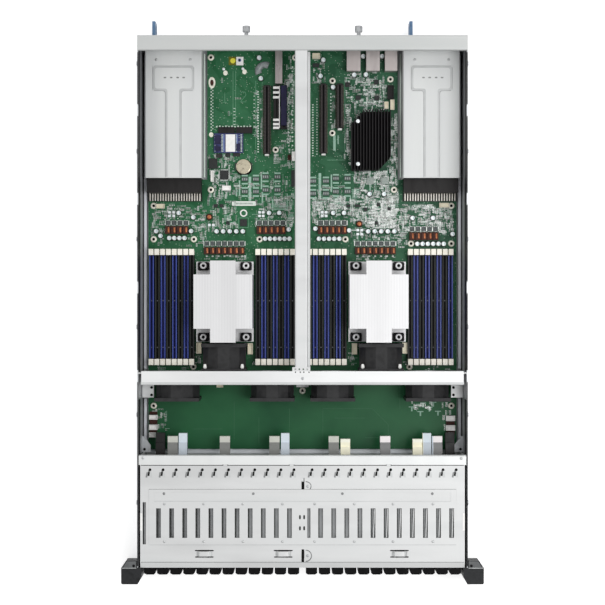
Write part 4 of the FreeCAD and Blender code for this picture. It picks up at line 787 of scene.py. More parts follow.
dashes.append(copies(plate(2.2, 2.0, 0.12), on_deck(pads)))
piece("printed_dashes", joined(*dashes), "silk_white")
turn_two = np.linspace(math.radians(165), math.radians(-40), 10)
two = np.column_stack([-81.4 + 3.6 * np.cos(turn_two), 282.4 + 3.6 * np.sin(turn_two)])
two = np.concatenate([two, [(-85.2, 272.4)]])
lines = [((-95.6, 315), (-95.6, 240)), ((-91.9, 315), (-91.9, 240)), ((-64.3, 301), (-64.3, 208)),
         ((-106.9, 271.4), (-106.9, 285)), ((-109.4, 271.4), (-104.4, 271.4)), ((-85.2, 272), (-77.4, 272)),
         ((58.2, 300), (58.2, 200)), ((-55.5, 300), (-55.5, 198)), ((10.5, 272), (10.5, 196)),
         ((-88, 112.4), (-74.4, 112.4)), ((-88, 99.2), (-74.4, 99.2)), ((-88, 99.2), (-88, 112.4)),
         ((-74.4, 99.2), (-74.4, 112.4)), ((34, 192), (58, 192))]
printed = [strip(start, end, 0.6) for start, end in lines] + [carried(flat_bar(0.3, 0.08), on_deck(two))]
piece("printed_lines", joined(*printed), "silk_faint")
ring_pad = lathe([(1, 0), (1, 0.15), (0.62, 0.15), (0.62, 0.05)], 24)
oval = copies(ring_pad, on_deck([(-124.6, 298.4)]), size=(4.7, 7.9, 1))
small_rings = copies(ring_pad, on_deck([(-106, 311.8), (-79.7, 313.4), (-125.6, 226.8)]), size=(3.0, 3.4, 1))
piece("plated_pads", joined(oval, small_rings), "screw_steel")
pad_hole = lathe([(1, 0.05), (1, 0.2), (0.4, 0.2)], 18)
piece("pad_holes", copies(pad_hole, on_deck([(-124.6, 298.4)]), size=(2.4, 4.2, 1)), "choke_ferrite")
on_board("printed_ring", lathe([(5.0, 0), (5.0, 0.12), (3.4, 0.12), (3.4, 0.02)], 28), [(-81, 119)],
         "label_white")
on_board("ring_middle", lathe([(3.4, 0.02), (3.4, 0.06), (1.0, 0.06)], 24), [(-81, 119)], "board_mask")
tee = joined(copies(block(9.0, 1.5, 0.5, 0.1), (0, 2.6, 0)), copies(block(2.2, 6.0, 0.5, 0.1), (0, -1.0, 0)))
tees = [(150.4, -150.0), (162.2, -156.4), (174.6, -150.4), (186.4, -156.0), (166.0, -144.6), (180.0, -143.6)]
piece("tee_marks", copies(tee, on_deck(tees), size=(0.9, 0.9, 1)), "silk_mint")
planes = [((28, -150), (96, -150)), ((28, -150), (28, -196)), ((44, -163), (86, -163)),
          ((96, -150), (118, -172)), ((86, -190), (124, -190)), ((-94, -140), (-94, -192)),
          ((118, -172), (118, -200)), ((134, -104), (134, -150)), ((-18, -150), (-18, -198)),
          ((-60, -162), (-60, -198)), ((-150, -178), (-110, -178))]
piece("plane_lines", joined(*[strip(a, b, 0.8, 0.05) for a, b in planes]), "plane_green")
guides = [((side * 134.7, 168), (side * 134.7, 338), 1.7) for side in (-1, 1)]
piece("board_rims", joined(*[strip(*guide) for guide in guides]), "silk_white")
posts = lathe([(1.9, 0), (1.9, 2.2), (1.5, 2.5)], 12)
on_board("card_posts", posts, [(-108.4, 317), (-82, 317.4)], "can_silver")

# Plain label bar, two stickers and a grey clip at the rear of the board
piece("label_bar", joined(*[strip((-96.4, y), (-64.4, y), 0.9, 0.3) for y in (129.6, 134.8)],
                          *[strip((x, 129.2), (x, 135.2), 1.4, 0.3) for x in (-96.2, -64.6)]), "label_white")
piece("label_field", strip((-95.5, 132.2), (-65.3, 132.2), 4.6, 0.1), "silk_white")
hatch = [((x, 131.0), (x, 133.4), 0.9) for x in np.arange(-91, -69, 1.8)]
piece("label_hatch", joined(*[strip(*mark, rise=0.2) for mark in hatch]), "slit_grey")
sticker = plate(9.9, 11.6, 0.15)
on_board("olive_sticker", sticker, [(-96.6, 328.4)], "sticker_olive")
on_board("yellow_dot", lathe([(3.6, 0.15), (3.6, 0.3)], 20), [(-95.8, 328.6)], "label_yellow")
on_board("white_sticker", sticker, [(-86.2, 328.2)], "label_white")
on_board("sticker_mark", lathe([(2.4, 0.15), (2.4, 0.25), (1.7, 0.25), (1.7, 0.15)], 18), [(-86.6, 329.4)],
         "mark_blue")
bow = np.linspace(math.radians(205), math.radians(60), 14)
clip_line = side_by_side(-51.5 + 9.5 * np.cos(bow), 314.0 + 9.0 * np.sin(bow), deck)
half_oval = [(-4.6, 0), (4.6, 0), (4.2, 2.2), (2.4, 3.8), (0, 4.3), (-2.4, 3.8), (-4.2, 2.2)]
piece("grey_clip", carried(half_oval, clip_line), "clip_grey")

# Module card in its socket: blue board, pale label, dark chips, printed stitches and two posts
card_level = deck + 2.4
card_middle = np.array([-101.6, 215.0, card_level])
set_out("module_card", block(40.4, 26.8, 1.2, 0.1), card_middle, "card_blue")
set_out("module_label", block(13.0, 24.0, 0.3, 0.05), card_middle + [2.6, 0, 1.2], "label_white")
piece("module_chips", joined(copies(block(8, 12, 1.2), card_middle + [-14.6, 4.6, 1.2]),
                             copies(block(7, 6, 1.2), card_middle + [-14.4, -7.6, 1.2]),
                             copies(block(6, 10, 1.2), card_middle + [13.6, -6, 1.2])), "navy_plastic")
stitches = [card_middle + [x, y, 1.2] for x in (-8.6, 11.0, 17.6) for y in np.arange(-11.4, 12, 1.9)]
set_out("module_pins", block(2.2, 0.9, 0.4, 0.1), stitches, "silk_white")
crumbs = [card_middle + [x, y, 1.2] for x in (-18.6, -9.8, 14.6) for y in (-11, -3, 1.6, 7.4, 10.6)]
set_out("module_crumbs", block(1.4, 1.0, 0.5, 0.1), crumbs, "part_grey")
stitch_lines = [card_middle + [x, 0, 1.2] for x in (-6.4, 11.6)]
set_out("module_lines", block(1.2, 24, 0.5, 0.1), stitch_lines, "mark_blue")
on_board("module_posts", lathe([(2.0, 0), (2.0, 2.4)], 12), [(-119, 204), (-84, 204)], "pin_tin")

# Headers and sockets along the board edges
cream_ranges = (
    (13.5, 24.2, 330.8, 338.2, 7), (112.5, 118, 262, 271.7, 6), (120.7, 126.2, 260.7, 274.5, 6),
    (-145.5, -138.5, -74, -59, 9), (-75.2, -68.2, -75, -60, 9), (67.8, 74.8, -75, -60, 9),
    (137, 143.6, -74, -59, 9), (-118, -109, -120.6, -115.6, 4),
    (-201, -189.4, 125.3, 131.4, 5), (188, 201, 126.6, 132.8, 5),
)
piece("cream_headers", spanned(cream_ranges, cup), "plug_cream")
white_ranges = (
    (-210.5, -199, -164.6, -158.4, 8), (-210.5, -199, -178.8, -171.6, 8), (-210.5, -202, -189.0, -182.4, 8),
    (197, 209.5, -166.6, -159.4, 8), (197, 209.5, -179.8, -172.4, 8), (-110.4, -98.6, 150, 156.4, 5),
    (-126, -122, 162, 177, 6), (-14.6, -9.6, 190.6, 203, 7),
)
piece("white_headers", spanned(white_ranges, cup), "label_white")
brown_ranges = (
    (-20.2, -15.6, 191.6, 199, 6), (-210, -199.6, -171.0, -165.2, 5), (-210, -200, -182, -179.2, 5),
    (-210, -199.6, -157.8, -154.0, 4), (197.4, 209, -171.8, -167.2, 5), (197.4, 209, -185.0, -180.4, 5),
)
piece("brown_headers", spanned(brown_ranges, cup), "choke_ferrite")
dark_ranges = ((116.7, 125.3, 275, 294, 7),)
piece("dark_headers", spanned(dark_ranges, cup), "socket_black")

# Card slots: tail catches, solder teeth and contacts. Module connectors: white bars and a navy cover
slots = ((-48.8, 199.4, 293.6), (28.8, 200.1, 296.0), (51.2, 234.7, 296.0))
tails = on_deck([(x, y - 1.1) for x, y, end in slots])
set_out("slot_tails", moulding(6.0, 2.2, [(0, 0), (0, 10.4), (0.5, 11.0)], 0.8, 2), tails, "label_white")
teeth, contacts = [], []
for x, first, last in slots:
    teeth += [(x + side * 4.9, y) for side in (-1, 1) for y in np.arange(first + 2, last, 2.0)]
    contacts += [(x + side * 2.5, y) for side in (-1, 1) for y in np.arange(first + 2.5, last - 2, 1.9)]
on_board("slot_teeth", moulding(1.8, 1.1, [(0, 0), (0, 1.6), (0.3, 2.2)]), teeth, "tooth_brown")
slot_level = np.array([0, 0, 11.2])
set_out("slot_contacts", block(1.7, 0.9, 0.25, 0.05), on_deck(contacts) + slot_level, "contact_dark")
mezzanine = deck + 9.0
white_bars = [(-36.2, y, mezzanine) for y in (290.4, 283.9, 277.3, 246.3, 240.4, 235.4)]
set_out("mezzanine_bars", block(8.2, 3.2, 0.6, 0.1), white_bars, "label_white")
set_out("mezzanine_edge", block(1.0, 58, 0.9, 0.1), (-31.6, 264, mezzanine), "label_white")
set_out("mezzanine_cover", moulding(8.0, 55, [(0, 0), (0, 1.2), (0.4, 1.6)], 1, 2), (-25.6, 266, mezzanine),
        "navy_plastic")

# Power sockets: a row of tin pins on the step in front of each
step_level = deck + 3.0
pin_row = [(side * psu_x + x, 140.6, step_level) for side in (-1, 1) for x in np.linspace(-34.2, 34.2, 20)]
set_out("power_pins", block(1.6, 10.2, 0.9, 0.2), pin_row, "pin_bright")

# Memory sockets: two edge ribs along each groove and two key marks
dimm_x, dimm_blue = [], []
for cpu in cpu_places:
    for slot in range(dimms_per_bank):
        offset = dimm_first + slot * dimm_pitch
        dimm_x += [cpu - offset, cpu + offset]
        dimm_blue += [slot % 2 == 1, slot % 2 == 1]
dimm_x, dimm_blue = np.array(dimm_x), np.array(dimm_blue)
dimm_top = span("dimm_sockets_blue")[1][2]
rib = block(0.8, 140, 0.5, 0.1)
rib_row = np.concatenate([dimm_x - 2.6, dimm_x + 2.6])
rib_blue = np.concatenate([dimm_blue, dimm_blue])
rib_places = side_by_side(rib_row, -10.1, dimm_top)
set_out("blue_socket_ribs", rib, rib_places[rib_blue], "blue_edge")
set_out("black_socket_ribs", rib, rib_places[~rib_blue], "black_edge")
key_places = [(x, y, dimm_top) for x in dimm_x for y in (-1.5, -65.4)]
set_out("socket_keys", block(1.7, 1.3, 0.3, 0.1), key_places, "key_grey")

# Processor coolers: dark cups with ring nuts in the cut corners
nut_x, nut_y = 29.1, (46.2, -51.2)
cooler_base = 21.6
corners = [(cpu + side * nut_x, y) for cpu in cpu_places for side in (-1, 1) for y in nut_y]
cups = [(x, y - (0.6 if y > 0 else 0.0), cooler_base) for x, y in corners]
well = moulding(15.6, 11.6, [(0, 0), (0, 5.0), (1.0, 5.6), (1.8, 5.6), (2.2, 3.0)], 2.0, 3)
set_out("cooler_cups", well, cups, "black_cooler")
nut = lathe([(4.6, 3.0), (4.8, 3.4), (4.8, 8.0), (4.2, 8.8), (3.0, 9.0), (2.2, 8.6), (2.2, 6.0)], 12)
set_out("cooler_nuts", nut, [(x, y, cooler_base) for x, y in corners], "cooler_metal")
nut_hole = lathe([(2.15, 6.0), (2.15, 6.2), (0.5, 6.2)], 12)
set_out("cooler_nut_holes", nut_hole, [(x, y, cooler_base) for x, y in corners], "recess_black")

cooler_top = span("cpu_heatsinks")[1][2]
fin_gap = plate(0.5, 1.0, 0.06)
fin_x = np.arange(-37.2, 37.5, 2.07)
fin_long = np.abs(fin_x) < 16.8
fin_rows = [(cpu + x, -2.8, cooler_top) for cpu in cpu_places for x in fin_x]
fin_size = side_by_side(1, np.where(fin_long, 109.0, 71.6), 1)
piece("cooler_fin_gaps", copies(fin_gap, fin_rows, size=np.tile(fin_size, (2, 1))), "fin_shade")

# Chipset cooler: push pins and fin tips. Coin cell: its rim, and a black disc shifted right and forward from it
# as a painted shadow
pin_places = [(x, y, span("chipset_heatsink")[1][2]) for x, y in ((75.3, 242.6), (75.5, 184.4))]
set_out("chipset_pins", lathe([(2.6, 0), (2.8, 0.8), (2.4, 1.8), (1.2, 2.2)], 14), pin_places, "can_silver")
sink_low, sink_high = span("chipset_heatsink")
tip_rows = [(x, sink_high[1] + 0.6, 0) for x in np.arange(86.0, 115.0, 3.3)]
tip_rows += [(x, sink_low[1] - 0.6, 0) for x in np.arange(69.0, 98.0, 3.3)]
tip_rows = np.array(tip_rows) + [0, 0, sink_high[2] - 8.0]
tip_size = side_by_side(1, 2.2 + 1.2 * np.sin(2.1 * tip_rows[:, 0]), 1)
piece("chipset_fin_tips", copies(moulding(1.3, 1.0, [(0, 0), (0, 7.6), (0.1, 8.0)]), tip_rows, size=tip_size),
      "black_cooler")
cell_low, cell_high = span("coin_cell")
cell_place = ((cell_low[0] + cell_high[0]) / 2, (cell_low[1] + cell_high[1]) / 2, cell_high[2])
shadow_spot = (cell_place[0] + 0.5, cell_place[1] - 1.1)
on_board("cell_painted_shadow", lathe([(11.4, 0), (11.4, 0.4), (2.0, 0.4)], 28), [shadow_spot], "recess_black")
set_out("cell_rim", lathe([(9.9, -0.2), (9.9, 0.1), (9.5, 0.3), (8.8, 0.3), (8.6, 0.1)], 32), cell_place,
        "cell_steel")

# Fan mounting pins of soft white rubber behind the rear fans
fan_pin = tipped(lathe([(1.4, 0), (2.4, 1.2), (2.4, 3.0), (1.6, 6.0)], 12), "rear")
fan_pins = [(side * 105.8 + x, -92.7, 68.0) for side in (-1, 1) for x in (-25, 25)]
set_out("fan_pins", fan_pin, fan_pins, "label_white")

# Fan wall: screw holes in its end brackets, a rivet and a strip of painted shade along the fold on its bar, the
# brace's foot; corner gussets
dark_disc = lathe([(1.9, 0), (1.9, 0.1), (0.3, 0.1)], 14)
bracket_level = deck + 30.0
holes = [(side * 205, y, bracket_level) for side in (-1, 1) for y in (-119.4, -129.5)]
set_out("bracket_holes", dark_disc, holes, "recess_black")
rivet = lathe([(2.0, 0), (1.9, 0.35), (1.2, 0.7), (0.4, 0.8)], 14)
set_out("bar_rivet", rivet, (0, -105.0, cover_top), "knob_steel")
bar_front, bar_rear = -113.8, -95.5
set_out("bar_fold_shade", block(430.0, 3.2, 0.06, 0.02), (0, bar_front + 2.2, cover_top), "fold_grey")
foot_dots = [(x, bar_rear - 1.2, cover_top) for x in (-9.3, -2.8, 1.7, 8.6)]
set_out("foot_dots", lathe([(0.9, 0), (0.9, 0.1), (0.3, 0.1)], 10), foot_dots, "recess_black")
gusset_flat = np.array([(218.6, -186.0), (215.6, -186.0), (206.6, -198.0), (206.6, -207.4), (218.6, -207.4)])
corner_gussets, corner_holes = [], []
for side in (-1, 1):
    flat = (gusset_flat * [side, 1])[::-side]
    corner_gussets.append(slab(flat, 34.0, 35.2))
    corner_holes.append((side * 215.0, -203.6, 35.2))
piece("corner_gussets", joined(*corner_gussets), "zinc_sheet")
set_out("corner_gusset_holes", dark_disc, corner_holes, "recess_black")

# Cage cover: rivets, hooks with their slots, lanced bridges, D-shaped cuts and the lines of the pressed bands,
# with painted shade on the hooks, bridges, band lines, folds and slots and painted highlights in the far right
# slots
rivet_x = (-183.9, -131.6, -79.4, -26.9, 16.1, 68.9, 120.3, 173.4)
cover_rivets = [(x, y, panel_top) for x in rivet_x for y in (-272.1, -322.0)]
band_rivets = [(x, -258.4, cover_top) for x in (-184.4, -65.5, 53.0, 172.7)]
piece("cover_rivets", copies(rivet, cover_rivets, size=0.9), "rivet_grey")
piece("band_rivets", copies(rivet, band_rivets, size=0.9), "slit_grey")
bay_first, bay_pitch, bays_per_half = 12.0, 17.43, 12
bay_half = bay_first + bay_pitch * np.arange(bays_per_half)
bay_x = np.concatenate([-bay_half[::-1], bay_half])
rear_edge = cover_high[1]
# Formed hooks: a black dot and cut, the tab in a dark grey and its flank in fold grey, all painted shade of the
# pressed-down tab
dots = side_by_side(bay_x + 0.8, rear_edge - 6.4, cover_top)
set_out("hook_dots", plate(3.8, 3.8, 0.1, 1.8, 3), dots, "recess_black")
roots = side_by_side(bay_x + 0.4, rear_edge, cover_top)
set_out("hook_cuts", carried(flat_bar(1.2), [(-0.9, -8.8, 0), (-1.6, -14.6, 0)]), roots, "recess_black")
hook = joined(carried(flat_bar(1.1, 0.3), [(-3.0, -9.6, 0), (-4.4, -16.6, 0.2)]),
              carried(flat_bar(0.4, 0.35), [(-2.0, -6.8, 0.1), (0.2, -9.4, 0.1)]))
set_out("cover_hooks", hook, roots, "slit_grey")
set_out("hook_flank_shade", carried(flat_bar(1.1, 0.3), [(1.1, -10.0, 0), (1.8, -16.4, 0.2)]), roots, "fold_grey")
arch_t = np.linspace(-1, 1, 13)
arch = side_by_side(9.8 * arch_t, 0, 1.6 * (1 - arch_t ** 4))
strap_section = flat_bar(3.2, 0.8)
bridge_places = [(x, cover_low[1] + 18.6, cover_top - 0.4) for x in (-130.6, -25.6, 129.0)]
set_out("cover_bridges", carried(strap_section, arch[2:-2]), bridge_places, "cover_sheet")
# The arch ends in rivet grey, darker than the cover, are painted shade on the slopes; the black slits beside
# each bridge are painted shade in its openings
slope_shade = joined(carried(strap_section, arch[:3]), carried(strap_section, arch[-3:]))
set_out("bridge_slope_shade", slope_shade, bridge_places, "rivet_grey")
bridge_ends = [(x, y, 0.4) for x in (-10.0, 10.0) for y in (-4.2, 4.2)]
slit_shade = joined(copies(block(13.0, 1.9, 0.2, 0.05), (0, 4.2, 0.4)),
                     copies(block(25.0, 1.0, 0.15, 0.05), (0, 4.2, 0.4)),
                     copies(block(4.2, 1.3, 0.2, 0.05), bridge_ends))
set_out("bridge_slit_shade", slit_shade, bridge_places, "recess_black")
half_turn = np.linspace(-math.pi / 2, math.pi / 2, 17)
tongue_edge = side_by_side(7.0 * np.cos(half_turn), 6.2 * np.sin(half_turn), 0)
half_round = carried([(-0.55, 0), (0.55, 0), (0.4, 0.3), (-0.4, 0.3)], tongue_edge)
middles = [(4.4, -248.6, cover_top), (4.4, -341.0, cover_top)]
tongue_size = [(1.0, 1.0, 1.0), (1.08, 1.2, 1.0)]
piece("cover_tongues", copies(half_round, middles, size=tongue_size), "hook_grey")
slot_size = [(1.0, 1.0, 1.0), (1.0, 1.37, 1.0)]
tongue_slots = copies(block(3.4, 12.4, 0.15, 0.05), [(x - 3.9, y, z) for x, y, z in middles], size=slot_size)
piece("tongue_slots", tongue_slots, "recess_black")
set_out("cover_screws", rivet, [(x + 2.4, y, z) for x, y, z in middles], "knob_steel")
# Lines of painted shade at the steps of the pressed bands, one of them in a darker grey
press_ends = 204.4
press_runs = [((-press_ends, y), (press_ends, y)) for y in (-252.6, -268.6, -326.4)]
press_runs += [((x, -252.6), (x, -268.6)) for x in (-press_ends, press_ends)]
press_level = [cover_top + 0.02, cover_top + 0.02, panel_top, cover_top + 0.02, cover_top + 0.02]
press_shade = [carried(flat_bar(0.35, 0.06), [(*a, z), (*b, z)]) for (a, b), z in zip(press_runs, press_level)]
piece("cover_press_shade", joined(*press_shade[1:]), "press_grey")
piece("cover_press_edge_shade", press_shade[0], "slit_grey")
seam_width = cover_high[0] - cover_low[0] - 2.0
# A black strip in the rear seam and a grey one along the front fold: painted shade in the gap and in the bend
set_out("cover_rear_seam_shade", block(seam_width, 0.9, 0.1, 0.02), (0, rear_edge - 0.45, cover_top), "film_black")
set_out("cover_front_fold_shade", block(seam_width, 0.8, 0.1, 0.02), (0, cover_low[1] + 7.4, cover_top), "slit_grey")
# Painted shade in the cover's slots: dark strips at their left sides, wider towards the far left, and at the
# right sides of the far right slots, next to slanted slivers of cover grey as painted highlights
slot_y_middle = -297.5
slot_x = np.concatenate([bay_x[1:12], bay_x[13:]]) - 5.3
shade_width = np.where(slot_x < 0, 1.2 - slot_x / 100.0, 1.3)
shade_place = side_by_side(slot_x - 3.1 + shade_width / 2, slot_y_middle, panel_top - 1.2)
piece("slot_shade_strips", copies(plate(1.0, 39.0, 0.4), shade_place, size=side_by_side(shade_width, 1, 1)), "slot_shade")
far_slots = slot_x[slot_x > 90]
far_shade = side_by_side(far_slots + 2.7, slot_y_middle, panel_top - 1.2)
set_out("slot_far_shade", plate(0.8, 39.0, 0.4), far_shade, "slot_shade")
highlight_sliver = carried(flat_bar(0.5, 0.3), [(2.0, 19.0, 0), (0.6, -19.0, 0)])
set_out("slot_highlight_slivers", highlight_sliver, far_shade - [2.7, 0, 0], "cover_sheet")
seam_hooks = [(x, rear_edge - 0.6, cover_top) for x in (-102.7, -14.5, 114.7)]
set_out("seam_hooks", block(5.4, 2.6, 0.5, 0.2), seam_hooks, "cover_sheet")
hook_marks = [(x + side * 3.2, y + 0.4, z) for x, y, z in seam_hooks for side in (-1, 1)]
set_out("seam_hook_marks", block(1.0, 1.4, 0.3, 0.1), hook_marks, "recess_black")
side_tabs = [(side * 214.6, -296.0, cover_top) for side in (-1, 1)]
set_out("side_tabs", block(2.8, 23.0, 0.4, 0.1), side_tabs, "label_white")

# Drive cage beam: a screw at each end and pairs of sight holes in the cover's middle
beam_ends = [(-212.3, -210.9, cover_top), (211.1, -211.4, cover_top)]
set_out("beam_screws", rivet, beam_ends, "rivet_grey")
sight_holes = [(x, y, panel_top) for x in (-3.4, 2.2) for y in (-289.6, -304.4)]
set_out("sight_holes", plate(2.4, 5.6, 0.1, 1.2, 3), sight_holes, "slot_shade")

# Power supply cages: a T-shaped panel pressed up with sloping edges in a darker grey of painted shade, four air
# slits in a grey of painted shade and two rivets
cage_top = span("psu_cages")[1][2]
head_half, stem_half, head_rear, head_front, stem_front = 27.5, 10.45, 316.4, 283.4, 166.4
pressed = np.array([
    (-head_half, head_rear), (-head_half, head_front), (-stem_half, head_front), (-stem_half, stem_front),
    (stem_half, stem_front), (stem_half, head_front), (head_half, head_front), (head_half, head_rear)])
outward = np.array([(-1, 1), (-1, -1), (-1, -1), (-1, 0), (1, 0), (1, -1), (1, -1), (1, 1)])
corner_radii = np.array([3.8, 3.8, 3.8, 0.05, 0.05, 3.8, 3.8, 3.8])[:, None]


def pressed_panel(profile):
    """Pressed T panel: its corners moved outward by profile's reach and rounded, at profile's height."""
    rings = []
    for reach, height in profile:
        flat = rounded(pressed + reach * outward, corner_radii)
        rings.append(at_level(flat, cage_top + height))
    return skin(rings)


cages = [(-psu_x, 0, 0), (psu_x, 0, 0)]
# The sloping edges in press grey, darker than the cage: painted shade
shaded_slope = [(0.7, -1.18), (0.4, -0.5), (0.1, 0.12), (-2.4, 0.24)]
set_out("cage_slope_shade", pressed_panel(shaded_slope), cages, "press_grey")
set_out("cage_fields", pressed_panel([(-2.4, 0.1), (-2.5, 0.27)]), cages, "cage_sheet")
slit = plate(3.6, 1.9, 0.1, 0.9, 3)
slits = [(side * psu_x + x, 300.8, cage_top + 0.27) for side in (-1, 1) for x in (-11.2, -2.8, 6.0, 14.1)]
set_out("cage_slits", slit, slits, "slit_grey")
cage_rivets = [(side * psu_x + x, 325.3, cage_top - 1.2) for side in (-1, 1) for x in (-23.0, 23.0)]
set_out("cage_rivets", rivet, cage_rivets, "rivet_grey")

# Rack ears: a lighter gusset plate behind each and a painted highlight along its fold
ear_top = span("rack_ears")[1][2]
gussets = []
for side in (-1, 1):
    flat = np.array([(221.4, -356.6), (238.6, -356.6), (233.8, -348.4), (221.4, -348.4)])[::side] * [side, 1]
    gussets.append(slab(flat, ear_top, ear_top + 0.2))
piece("gusset_plates", joined(*gussets), "gusset_grey")
fold_highlight = [(side * 230.8, -357.4, ear_top) for side in (-1, 1)]
gusset_holes = [(side * 224.6, -354.4, ear_top + 0.2) for side in (-1, 1)]
set_out("gusset_holes", dark_disc, gusset_holes, "recess_black")
set_out("ear_fold_highlights", block(19.6, 0.9, 0.2, 0.1), fold_highlight, "rivet_grey")

# Thumbscrews: flutes around the knob
flute_a = 2 * math.pi * np.arange(16) / 16
flute = block(1.0, 0.7, 7.6, 0.2)
rim = side_by_side(4.85 * np.cos(flute_a), 4.85 * np.sin(flute_a), 0)
flutes = copies(flute, rim, flute_a + math.pi / 2)
knob_start = 358.9
knobs = [(side * 75.3, knob_start, 68.0) for side in (-1, 1)]
set_out("knob_flutes", tipped(flutes, "rear"), knobs, "knob_steel")

# Drive carriers: dark air slots down each lever, a button cap and two lamp windows
lever_slot = tipped(plate(7.4, 1.5, 0.3, 0.7, 2), "front")
slot_z = np.linspace(24.0, 72.0, 13)
carrier_face, lever_foot, lever_length = -366.0, 19.4, 56.8
lever_bulge, lever_lean, sunk = 3.2, 1.6, 0.12
slot_y = carrier_face - lever_bulge + lever_lean * (slot_z - lever_foot) / lever_length + sunk
button_cap = tipped(moulding(8.6, 6.0, [(0, 0), (0, 0.5), (0.6, 0.9)], 1.2, 3), "front")
lamp_window = tipped(plate(2.2, 1.3, 0.25, 0.5, 2), "front")
for number, x in enumerate(bay_x, 1):
    carrier = "drive_carrier_%02d" % number
    set_out("lever_slots_%02d" % number, lever_slot, side_by_side(x, slot_y, slot_z), "recess_black", carrier)
    set_out("button_cap_%02d" % number, button_cap, (x, carrier_face - 1.6, 11.9), "button_grey", carrier)
    set_out("lamp_windows_%02d" % number, lamp_window, [(x + step, carrier_face, 79.0) for step in (-2.6, 2.6)],
            "lamp_green", carrier)

# Power supplies: three blades in each mains inlet, a slotted grille in the air recess and a lamp
blade = tipped(block(2.0, 5.0, 11.0, 0.3), "rear")
supply_rear, inlet_floor, grille_middle = 352.6, 335.8, 21.8
recess_floor = tipped(block(22.6, 25.6, 0.2, 0.05), "rear")
grille_bar = tipped(block(0.9, 25.6, 1.5, 0.2), "rear")
cross_bar = tipped(block(22.6, 0.9, 1.3, 0.2), "rear")
supply_lamp = tipped(lathe([(1.5, 0), (1.4, 0.5), (0.8, 0.8)], 16), "rear")
for name, x in (("left", -psu_x), ("right", psu_x)):
    rider = "psu_" + name
    socket = x + 18.8
    blades = [(socket + step, inlet_floor, z) for step, z in ((0, 25.6), (-6.8, 18.6), (6.8, 18.6))]
    set_out("inlet_blades_" + name, blade, blades, "pin_tin", rider)
    grille = x - 11.2
    recess_place = (grille, supply_rear - 2.0, grille_middle)
    set_out("air_recess_" + name, recess_floor, recess_place, "recess_black", rider)
    upright = [(grille + step, supply_rear - 1.9, grille_middle) for step in np.linspace(-9.9, 9.9, 8)]
    level = [(grille, supply_rear - 1.9, z) for z in (15.4, grille_middle, 28.2)]
    grid = joined(copies(grille_bar, upright), copies(cross_bar, level))
    piece("air_grille_" + name, grid, "psu_steel", rider)
    set_out("supply_lamp_" + name, supply_lamp, (socket, supply_rear, 36.4), "lamp_green", rider)

# Rear wall: air holes in the card brackets, and a dark throat with pins in each jack
bracket_face = 349.6
air_hole = tipped(lathe([(1.5, 0), (1.5, 0.12), (0.4, 0.12)], 12), "rear")
air_holes = [(x + side * 2.8, bracket_face, z) for x, first, last in slots for side in (-1, 1)
             for z in np.arange(22.0, 72.0, 4.6)]
set_out("bracket_air_holes", air_hole, air_holes, "recess_black")
jack_mouth, jack_depth = 351.3, 14.0
throat_floor = jack_mouth - jack_depth
jacks = ((69.9, 15.4), (96.4, 15.2), (121.2, 13.6))
throats, throat_pins = [], []
for x, wide in jacks:
    throats.append(copies(tipped(block(wide - 0.2, 12.4, 0.3, 0.1), "rear"), (x, throat_floor, 17.5)))
    pins = [(x + step, throat_floor + 0.3, 21.4) for step in np.linspace(-0.36 * wide, 0.36 * wide, 8)]
    throat_pins.append(copies(tipped(block(0.6, 0.8, 9.0, 0.1), "rear"), pins))
notch_places = [(x, 344.6, 25.4) for x in (117.2, 125.0)]
set_out("jack_notches", block(4.2, 5.2, 0.15, 0.05), notch_places, "hook_grey")
frame_bar = tipped(block(0.5, 64.0, 0.15, 0.03), "rear")
frame_end = tipped(block(12.4, 0.5, 0.15, 0.03), "rear")
side_seams = [(x + side * 5.95, bracket_face, 46.2) for x, first, last in slots for side in (-1, 1)]
end_seams = [(x, bracket_face, z) for x, first, last in slots for z in (14.5, 77.9)]
piece("bracket_seams", joined(copies(frame_bar, side_seams), copies(frame_end, end_seams)), "slot_shade")
piece("jack_throats", joined(*throats), "recess_black")
piece("jack_pins", joined(*throat_pins), "cell_steel")


# Studio: floor, light and the camera straight above

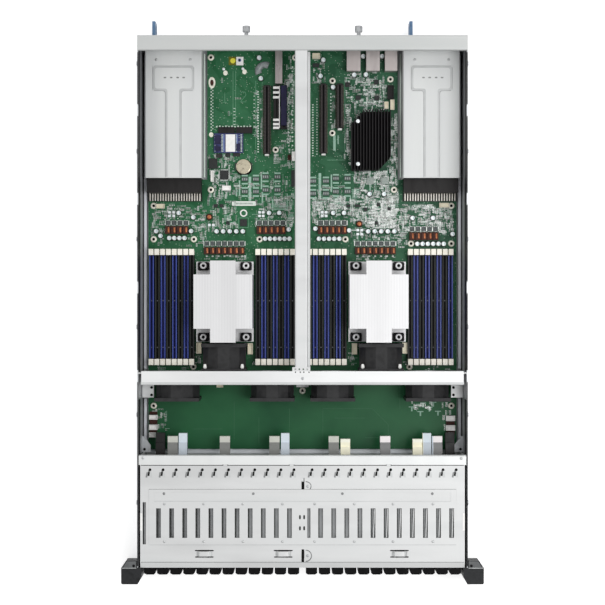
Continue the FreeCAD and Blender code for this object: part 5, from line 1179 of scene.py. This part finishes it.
def studio_floor():
    """Flat pale floor, white to the camera and to reflections, that still takes the shadow."""
    reach = 14.0
    corners = outline(2 * reach, 2 * reach)
    mesh = bpy.data.meshes.new("studio_floor")
    mesh.from_pydata([(x, y, -0.0005) for x, y in corners], [], [(0, 1, 2, 3)])
    made = bpy.data.materials.new("studio_floor")
    made.use_nodes = True
    tree = made.node_tree
    tree.nodes.clear()
    path = node(tree, "LightPath")
    seen = reckon(tree, "MAXIMUM", path.outputs["Is Camera Ray"], path.outputs["Is Glossy Ray"])
    seen = reckon(tree, "MAXIMUM", seen, path.outputs["Is Transmission Ray"])
    grey = node(tree, "BsdfDiffuse", [("Color", (0.86, 0.86, 0.86, 1))]).outputs[0]
    white = node(tree, "Emission", [("Color", (1, 1, 1, 1)), ("Strength", 0.5)]).outputs[0]
    both = node(tree, "AddShader", [(0, grey), (1, white)]).outputs[0]
    mixed = node(tree, "MixShader", [(0, seen), (1, grey), (2, both)]).outputs[0]
    node(tree, "OutputMaterial", [("Surface", mixed)])
    mesh.materials.append(made)
    floor = bpy.data.objects.new("studio_floor", mesh)
    bpy.context.scene.collection.objects.link(floor)


def lamp(name, place, aim, size, power):
    """Square soft lamp aimed at a point."""
    light = bpy.data.lights.new(name, "AREA")
    light.size = size
    light.energy = power
    thing = bpy.data.objects.new(name, light)
    thing.location = place
    toward = np.array(aim, float) - place
    yaw = math.atan2(toward[1], toward[0])
    tilt = math.atan2(np.hypot(toward[0], toward[1]), -toward[2])
    thing.rotation_euler = (tilt, 0, yaw - math.pi / 2)
    bpy.context.scene.collection.objects.link(thing)


studio_floor()
lamp("lamp_right", (0.85, -0.1, 2.1), (0.05, 0, 0), 1.0, 19)
lamp("lamp_left", (-1.8, 0.6, 2.8), (0, 0, 0), 1.8, 12)
lamp("lamp_rear", (0.2, 2.2, 2.4), (0, 0, 0), 1.6, 9)
world = bpy.data.worlds.new("studio")
world.use_nodes = True
world.node_tree.nodes["Background"].inputs["Color"].default_value = (1, 1, 1, 1)
world.node_tree.nodes["Background"].inputs["Strength"].default_value = 0.62
bpy.context.scene.world = world
bpy.context.scene.view_settings.view_transform = "Standard"

camera_height = 2.322
camera_shift_y = -0.004
camera = bpy.data.cameras.new("camera")
camera.sensor_width = 36
camera.lens = 100
camera.clip_end = 40
viewer = bpy.data.objects.new("camera", camera)
viewer.location = (0, camera_shift_y, camera_height)
bpy.context.scene.collection.objects.link(viewer)
bpy.context.scene.camera = viewer
